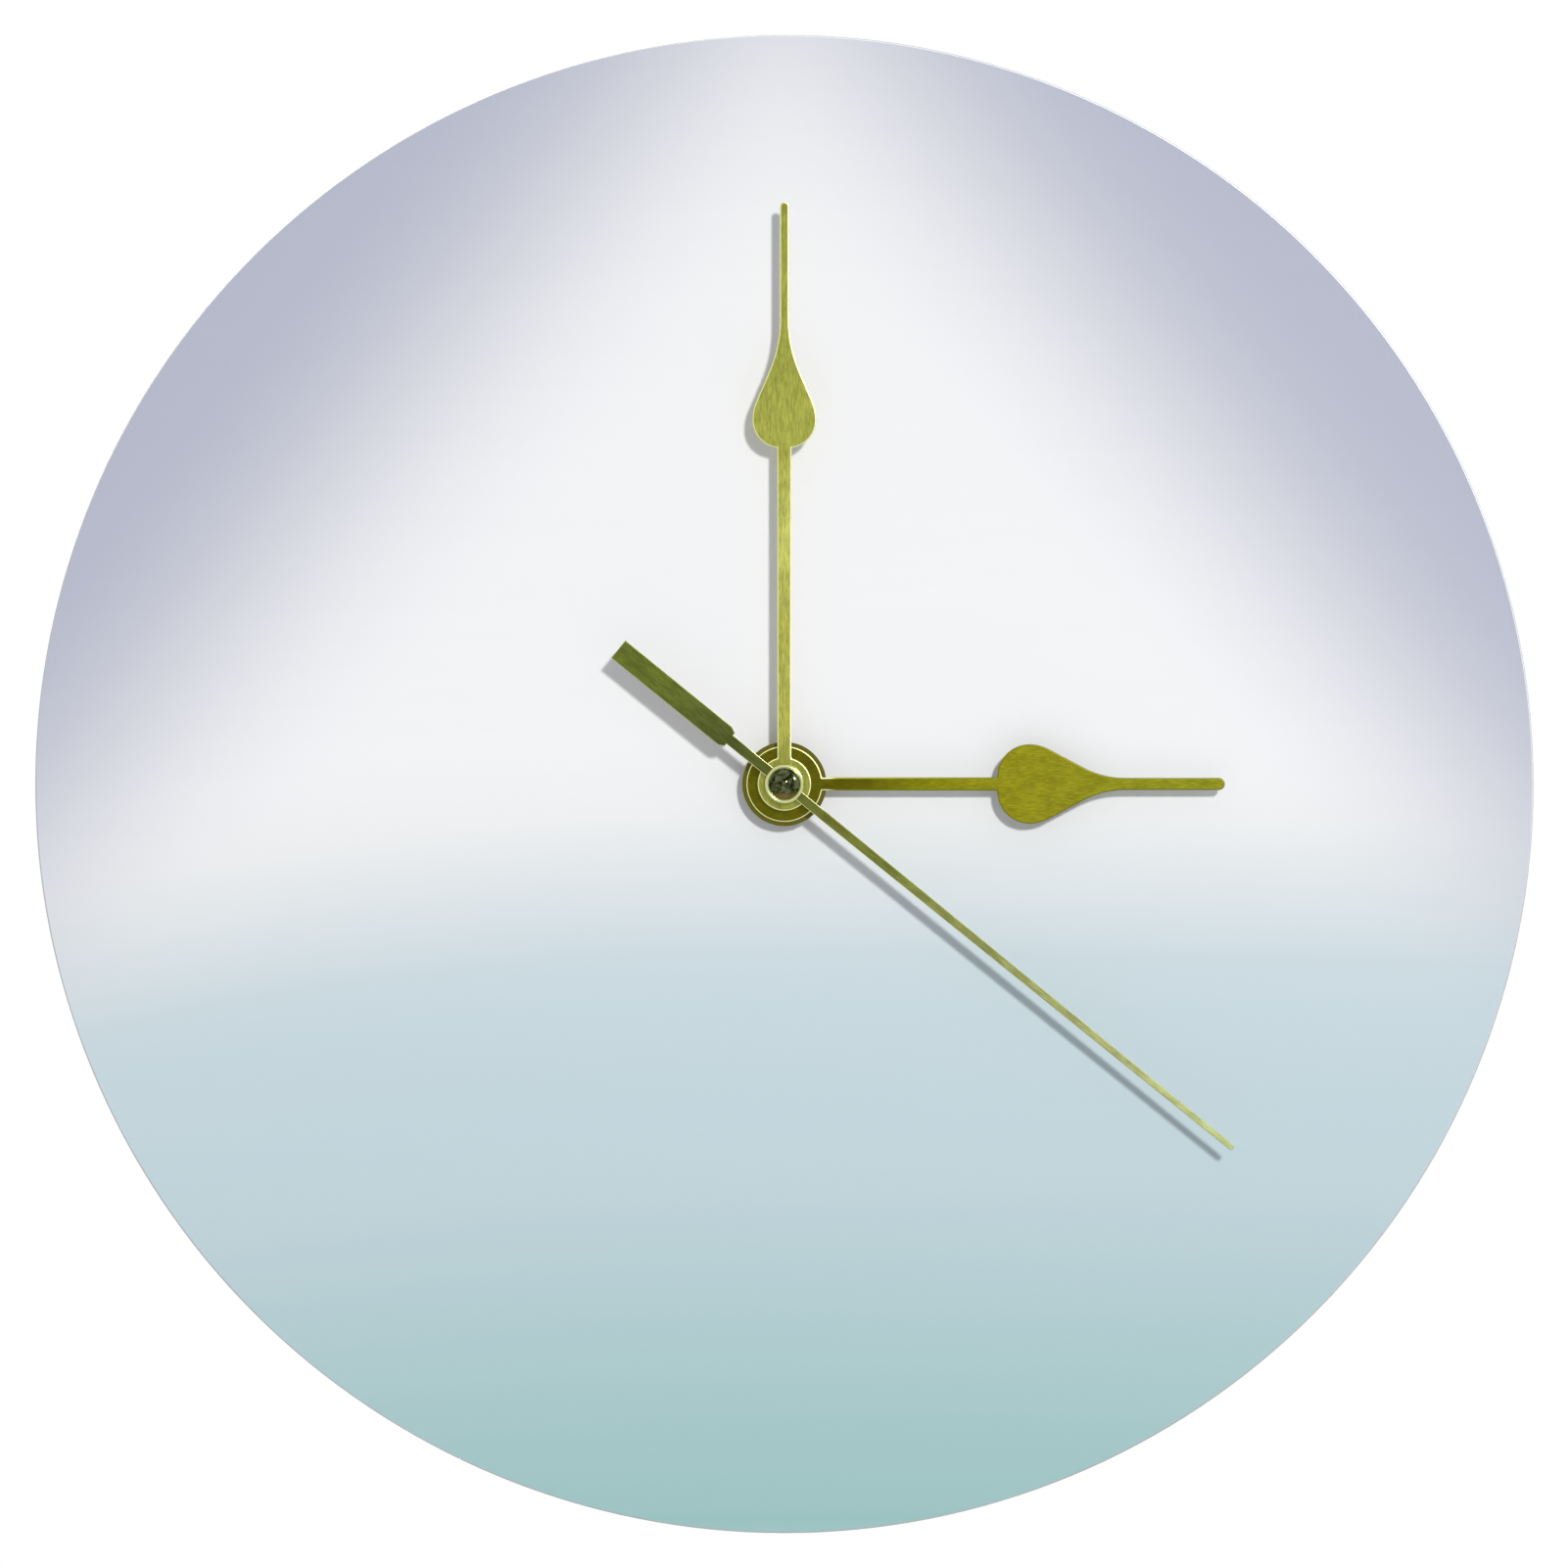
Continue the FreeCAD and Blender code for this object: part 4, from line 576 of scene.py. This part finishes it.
class CLOCK_OT_clamp(bpy.types.Operator):
    """Make the threaded bushing, the nut, the washer and the gasket"""
    bl_idname = "clock.clamp"
    bl_label = "Clamp"

    def execute(self, context):
        sizes = context.scene.clock_sizes
        steps = sizes.turn_steps
        yellow = turned_brass("machined_brass", "#A8954C", "#CDBD77")
        back, front = depths("centre_bushing")
        bore, crest, root, lead, start = 2.61, 3.99, 3.6, 0.4, 0.15
        pitch = sizes.thread_pitch / MM
        flat, half = 0.12 * pitch, 0.5 * pitch
        profile = [(front, bore), (front, crest - lead)]
        depth = front - start
        while depth - pitch > back + pitch:
            profile += [(depth, crest), (depth - flat, crest), (depth - half, root),
                        (depth - half - flat, root)]
            depth -= pitch
        profile += [(depth, crest), (back, crest), (back, bore)]
        place_piece(turned_mesh("threaded_bushing", profile, steps), "case", "clamp_brass", [yellow],
                    "centre_bushing")
        place_piece(broken_mesh("hex_nut", "hex_nut_chamfered", sizes.nut_edge), "case", "clamp_brass",
                    [yellow], "hex_nut")
        back, front = depths("dial_washer")
        outer, corner = 7.0, 0.1
        mesh = turned_mesh("dial_washer_stamped", [
            (front, CLAMP_HOLE), (front, outer - corner), (front - corner, outer), (back, outer),
            (back, CLAMP_HOLE)], steps)
        place_piece(mesh, "case", "clamp_brass", [yellow], "dial_washer")
        rubber = moulded_plastic("cut_black_rubber", linear("#17171A"), linear("#212124"), 0.3, 0.75)
        place_piece(broken_mesh("rubber_gasket", "rubber_gasket_cut", sizes.rubber_edge), "case",
                    "black_rubber", [rubber], "rubber_gasket")
        return {"FINISHED"}


class CLOCK_OT_hanger(bpy.types.Operator):
    """Make the stamped hanger with its keyhole"""
    bl_idname = "clock.hanger"
    bl_label = "Hanger"

    def execute(self, context):
        sizes = context.scene.clock_sizes
        mesh = broken_mesh("hanger_bracket", "hanger_stamped", sizes.sheet_edge, steps=3)
        place_piece(mesh, "case", "zinc_steel", [zinc_steel()], "hanger_bracket")
        return {"FINISHED"}


class CLOCK_OT_case(bpy.types.Operator):
    """Make the two mouldings of the movement's case and the setting knob"""
    bl_idname = "clock.case"
    bl_label = "Case"

    def execute(self, context):
        sizes, colours = context.scene.clock_sizes, context.scene.clock_colours
        black = moulded_plastic("moulded_abs_case", colours.plastic, linear("#242527"))
        mesh = broken_mesh("case_front", "case_shell", sizes.mould_edge, steps=3)
        place_piece(mesh, "case", "black_plastic", [black], "case_front")
        shape = flat_shape("case_back")
        near_wall = -0.1 * MM
        rear = [face for face in shape.faces
                if face.normal.y > FACING and face.calc_center_median().y > near_wall]
        bmesh.ops.inset_region(shape, faces=rear, thickness=sizes.cover_rim, depth=-sizes.cover_sink,
                               use_even_offset=True, use_boundary=True)
        mesh = clean_mesh(break_edges(shape, sizes.cover_edge, 2), "case_cover")
        place_piece(mesh, "case", "black_plastic", [black], "case_back")
        self.make_marks(sizes, black)
        self.make_hooks(sizes, black)
        grey = moulded_plastic("moulded_abs_knob", linear("#3A3B3D"), linear("#434547"), 0.15, 0.42)
        mesh = broken_mesh("setting_knob", "setting_knob_fluted", sizes.knob_edge)
        place_piece(mesh, "minute_wheel", "knob_plastic", [grey], "setting_knob")
        return {"FINISHED"}

    def make_marks(self, sizes, black):
        """Raised marks on the cover: plus and minus for the cell, and arrows that turn round the knob."""
        shape = bmesh.new()
        crown = -0.05 * MM
        foot = crown - sizes.cover_sink
        long, wide, aside, level = 2.4 * MM, 0.55 * MM, 20 * MM, -7.4 * MM
        for across, bars in ((aside, ((long, wide), (wide, long))), (-aside, ((long, wide),))):
            for width, height in bars:
                middle = Matrix.Translation((across, (crown + foot) / 2, level))
                scale = Matrix.Diagonal((width, crown - foot, height, 1.0))
                bmesh.ops.create_cube(shape, size=1.0, matrix=middle @ scale)
        low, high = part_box("setting_knob")
        knob = Vector(((low.x + high.x) / 2, 0, (low.z + high.z) / 2))
        inner, outer, swell, point, sweep = 7.9 * MM, 8.5 * MM, 3.4, 2.0 * MM, math.radians(75)
        for start in (math.radians(20), math.radians(200)):
            turn = Matrix.Rotation(start, 4, "Y")
            corners = [shape.verts.new(knob + turn @ Vector((reach, depth, 0)))
                       for reach, depth in ((inner, crown), (outer, crown), (outer, foot), (inner, foot))]
            swept = bmesh.ops.spin(shape, geom=[shape.faces.new(corners)], cent=knob, axis=(0, 1, 0),
                                   angle=sweep, steps=16, use_duplicate=True)["geom_last"]
            ends = [item for item in swept if isinstance(item, bmesh.types.BMFace)]
            middle = ends[0].calc_center_median()
            tip = middle + Matrix.Rotation(start + sweep, 4, "Y") @ Vector((0, 0, -point))
            grown = bmesh.ops.extrude_discrete_faces(shape, faces=ends)["faces"][0]
            for vert in grown.verts:
                vert.co.x = middle.x + (vert.co.x - middle.x) * swell
                vert.co.z = middle.z + (vert.co.z - middle.z) * swell
            peak = bmesh.ops.extrude_discrete_faces(shape, faces=[grown])["faces"][0]
            for vert in peak.verts:
                vert.co.x, vert.co.z = tip.x, tip.z
        place_piece(clean_mesh(shape, "cover_marks"), "case", "black_plastic", [black])

    def make_hooks(self, sizes, black):
        """Small snap hooks that hold the cover, on the two sides of the case."""
        low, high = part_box("case_front")
        size = Matrix.Diagonal((0.7 * MM, 3.0 * MM, 4.2 * MM, 1.0))
        depth, heights = -3.2 * MM, (4 * MM, 18 * MM)
        shape = bmesh.new()
        for side in (low.x, high.x):
            for height in heights:
                middle = Matrix.Translation((side, depth, height))
                bmesh.ops.create_cube(shape, size=1.0, matrix=middle @ size)
        mesh = clean_mesh(break_edges(shape, sizes.hook_edge, 2), "snap_hooks")
        place_piece(mesh, "case", "black_plastic", [black])


class CLOCK_OT_battery(bpy.types.Operator):
    """Make the AA cell with its crimped sleeve and steel ends"""
    bl_idname = "clock.battery"
    bl_label = "Battery"

    def execute(self, context):
        low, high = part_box("battery_cell")
        middle = (low + high) / 2
        hair, nipple, crimp = 0.005, 1.0, 6.3
        radius = min(high.z - low.z, high.y - low.y) / 2 / MM - hair
        left, right, place = low.x / MM, high.x / MM, (0.0, middle.y, middle.z)
        shoulder = right - nipple
        # Both ends and the nipple, as how far in their places are and their radii, in millimetres
        minus = ((0.0, 0.0), (0.0, 5.1), (0.25, 5.3), (0.25, 6.2), (0.05, 6.4), (0.02, 6.8), (0.3, 7.15),
                 (0.9, radius))
        plus = ((1.1, radius), (0.4, 7.1), (0.06, 6.8), (0.02, 6.35), (0.3, 6.1), (0.3, 3.1), (0.15, 2.8))
        tip = ((0.25, 2.7), (0.0, 2.4), (0.0, 0.0))
        profile = [(left + inset, reach) for inset, reach in minus]
        profile += [(shoulder - inset, reach) for inset, reach in plus]
        profile += [(right - inset, reach) for inset, reach in tip]
        mesh = turned_mesh("battery_dressed", profile, context.scene.clock_sizes.turn_steps, closed=False,
                           axis=(1, 0, 0), middle=place)
        for face in mesh.polygons:
            spot = face.center - Vector(place)
            face.material_index = 0 if math.hypot(spot.y, spot.z) > crimp * MM else 1
        steel = worked_metal("nickel_plated_steel", "#B4B5B2", "#D2D2CE", (2, 0.3, 0.3), 0.22)
        place_piece(mesh, "battery", "cell_sleeve", [cell_sleeve(middle.x), steel], "battery_cell")
        return {"FINISHED"}


class CLOCK_OT_works(bpy.types.Operator):
    """Give the train, the motor, the board and the contacts their materials"""
    bl_idname = "clock.works"
    bl_label = "Works"

    def execute(self, context):
        acetal = moulded_plastic("moulded_acetal", linear("#DCD9CE"), linear("#E8E5DB"), 0.2, 0.38, 0.01)
        board = moulded_plastic("phenolic_board", linear("#7A5A33"), linear("#8F6E42"), 0.25, 0.45)
        nylon = moulded_plastic("moulded_nylon", linear("#303236"), linear("#3A3C40"))
        epoxy = moulded_plastic("black_epoxy_drop", linear("#0B0B0C"), linear("#121213"), 0.6, 0.22)
        iron = worked_metal("stamped_soft_iron", "#74757A", "#97989B", (0.2, 0.2, 3), 0.4)
        strip = worked_metal("nickel_plated_strip", "#AFAEA6", "#CFCEC8", (0.15, 3, 3), 0.24)
        ferrite = worked_metal("sintered_ferrite", "#2B2B2E", "#3A3A3D", (0.3, 0.3, 0.3), 0.6)
        steel = worked_metal("ground_steel", "#A9ABAF", "#CDCFD2", (0.1, 0.4, 0.1), 0.2)
        can = worked_metal("drawn_nickel_can", "#B5B5B3", "#D3D3D1", (2, 0.3, 0.3), 0.2)
        looks = (
            (acetal, ("gear_bridge", "fifth_wheel", "second_wheel", "third_wheel", "centre_wheel",
                      "minute_pipe", "minute_wheel", "hour_wheel", "rotor_pinion")),
            (board, ("circuit_board",)),
            (iron, ("coil_core", "stator_plate")),
            (strip, ("contact_positive", "contact_negative")),
            (wound_wire(), ("coil_winding",)),
            (nylon, ("coil_bobbin",)),
            (ferrite, ("rotor_magnet",)),
            (steel, ("second_arbor",)),
            (can, ("quartz_crystal",)),
            (epoxy, ("timing_chip",)),
        )
        for material, nodes in looks:
            for name in nodes:
                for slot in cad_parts[name].material_slots:
                    slot.material = material
        return {"FINISHED"}


class CLOCK_OT_stage(bpy.types.Operator):
    """Set up the pale floor, the soft studio light and the camera"""
    bl_idname = "clock.stage"
    bl_label = "Stage"

    def execute(self, context):
        scene = context.scene
        scene.view_settings.view_transform = "Standard"
        self.make_floor(scene)
        self.make_world(scene)
        face = Vector((0, LOW_DIAL.y, 0))
        self.make_light(scene, "key", SUN, aim=face, way=(0.225, -1.0, 0.25), distance=3.0,
                        extent=math.radians(4.5), power=1.71)
        self.make_light(scene, "side_window", PANEL, aim=face, way=(0.832, -0.309, 0.461), distance=1.4,
                        extent=0.3, power=6.0, mirrored_only=True)
        self.make_light(scene, "rear_fill", PANEL, aim=Vector((0, 0, 0)), way=(-0.5, 1.0, 0.9), distance=2.0,
                        extent=1.2, power=18.0)
        self.make_camera(scene)
        return {"FINISHED"}

    def make_camera(self, scene):
        """A long lens straight before the disc, which fills the frame as it does in the photograph."""
        photo_side, photo_radius, shift = 1601, 765, -0.4
        pixel = DIAL_RADIUS / photo_radius
        camera = bpy.data.objects.new("camera", bpy.data.cameras.new("camera"))
        scene.collection.objects.link(camera)
        camera.data.lens, camera.data.sensor_width, camera.data.clip_start = 280.0, 36.0, 0.05
        away = photo_side * pixel * camera.data.lens / camera.data.sensor_width
        camera.location = (shift * pixel, LOW_DIAL.y - away, 0.0)
        camera.rotation_euler = (math.pi / 2, 0, 0)
        scene.camera = camera

    def make_light(self, scene, name, kind, aim, way, distance, extent, power, mirrored_only=False):
        """A soft light that looks at a point from a direction; its extent is an angle, or a panel's side."""
        way = Vector(way).normalized()
        lamp = bpy.data.lights.new(name, kind)
        lamp.energy = power
        if kind == SUN:
            lamp.angle = extent
        else:
            lamp.size = extent
        light = bpy.data.objects.new(name, lamp)
        light.visible_diffuse = not mirrored_only
        scene.collection.objects.link(light)
        light.location = aim + way * distance
        light.rotation_mode = "QUATERNION"
        light.rotation_quaternion = way.to_track_quat("Z", "Y")

    def make_world(self, scene):
        """White for what the camera, metal and glass see, and a weaker, slightly cool light on the object."""
        world = bpy.data.worlds.new("studio")
        world.use_nodes = True
        scene.world = world
        tree = world.node_tree
        tree.nodes.clear()
        seen = looked_at(tree)
        cool = (0.93, 0.945, 1.0, 1.0)
        level = add_node(tree, "MapRange", {"Value": seen, "To Min": 0.4, "To Max": 1.0})
        tint = add_node(tree, "Mix", {"Factor": seen, 6: cool, 7: WHITE}, out=2, data_type="RGBA")
        back = add_node(tree, "Background", {"Color": tint, "Strength": level})
        tree.links.new(back, tree.nodes.new("ShaderNodeOutputWorld").inputs[0])

    def make_floor(self, scene):
        """A matt painted floor, pale, that fades into the white background towards its edge."""
        radius, fade_start, fade_end, least = 1.1, 0.35, 1.05, 0.65
        shape = bmesh.new()
        bmesh.ops.create_circle(shape, cap_ends=True, radius=radius, segments=96)
        bmesh.ops.translate(shape, verts=shape.verts, vec=(0, 0, -scene.clock_sizes.floor_drop))
        mesh = clean_mesh(shape, "floor")
        floor = bpy.data.objects.new("floor", mesh)
        scene.collection.objects.link(floor)
        made, tree, shader = new_material("matt_painted_floor")
        surface = shader.outputs[0].links[0].to_socket
        dress(tree, shader, {"Base Color": linear("#F4F4F4"), "Roughness": 0.7})
        away = far_out(tree, FROM_UPRIGHT)
        fade = add_node(tree, "MapRange", {"Value": away, "From Min": fade_start, "From Max": fade_end},
                        interpolation_type="SMOOTHSTEP")
        level = add_node(tree, "MapRange", {"Value": fade, "To Min": least, "To Max": 1.0})
        share = add_node(tree, "Math", {0: looked_at(tree), 1: level}, operation="MULTIPLY")
        white = add_node(tree, "Emission", {"Color": WHITE, "Strength": 1.0})
        mixed = add_node(tree, "MixShader", {0: share, 1: shader.outputs[0], 2: white})
        tree.links.new(mixed, surface)
        mesh.materials.append(made)


OPERATORS = (CLOCK_OT_dial, CLOCK_OT_hands, CLOCK_OT_hub, CLOCK_OT_clamp, CLOCK_OT_hanger, CLOCK_OT_case,
             CLOCK_OT_battery, CLOCK_OT_works, CLOCK_OT_stage)


class CLOCK_PT_panel(bpy.types.Panel):
    """Lists the steps that make the clock, with its sizes and colours"""
    bl_idname = "CLOCK_PT_panel"
    bl_label = "Wall clock"
    bl_space_type = "VIEW_3D"
    bl_region_type = "UI"
    bl_category = "Clock"

    def draw(self, context):
        for operator in OPERATORS:
            self.layout.operator(operator.bl_idname)
        for group in (context.scene.clock_sizes, context.scene.clock_colours):
            box = self.layout.box()
            for key in group.__annotations__:
                box.prop(group, key)


CLASSES = (ClockSizes, ClockColours) + OPERATORS + (CLOCK_PT_panel,)


def register():
    """Makes the operators, the panel and the two groups of properties known."""
    for item in CLASSES:
        bpy.utils.register_class(item)
    bpy.types.Scene.clock_sizes = PointerProperty(type=ClockSizes)
    bpy.types.Scene.clock_colours = PointerProperty(type=ClockColours)


def unregister():
    """Takes back what register made known."""
    del bpy.types.Scene.clock_colours
    del bpy.types.Scene.clock_sizes
    for item in reversed(CLASSES):
        bpy.utils.unregister_class(item)


def main():
    """Builds every piece and the stage."""
    register()
    for operator in OPERATORS:
        group, name = operator.bl_idname.split(".")
        getattr(getattr(bpy.ops, group), name)()


if __name__ == "__main__":
    main()
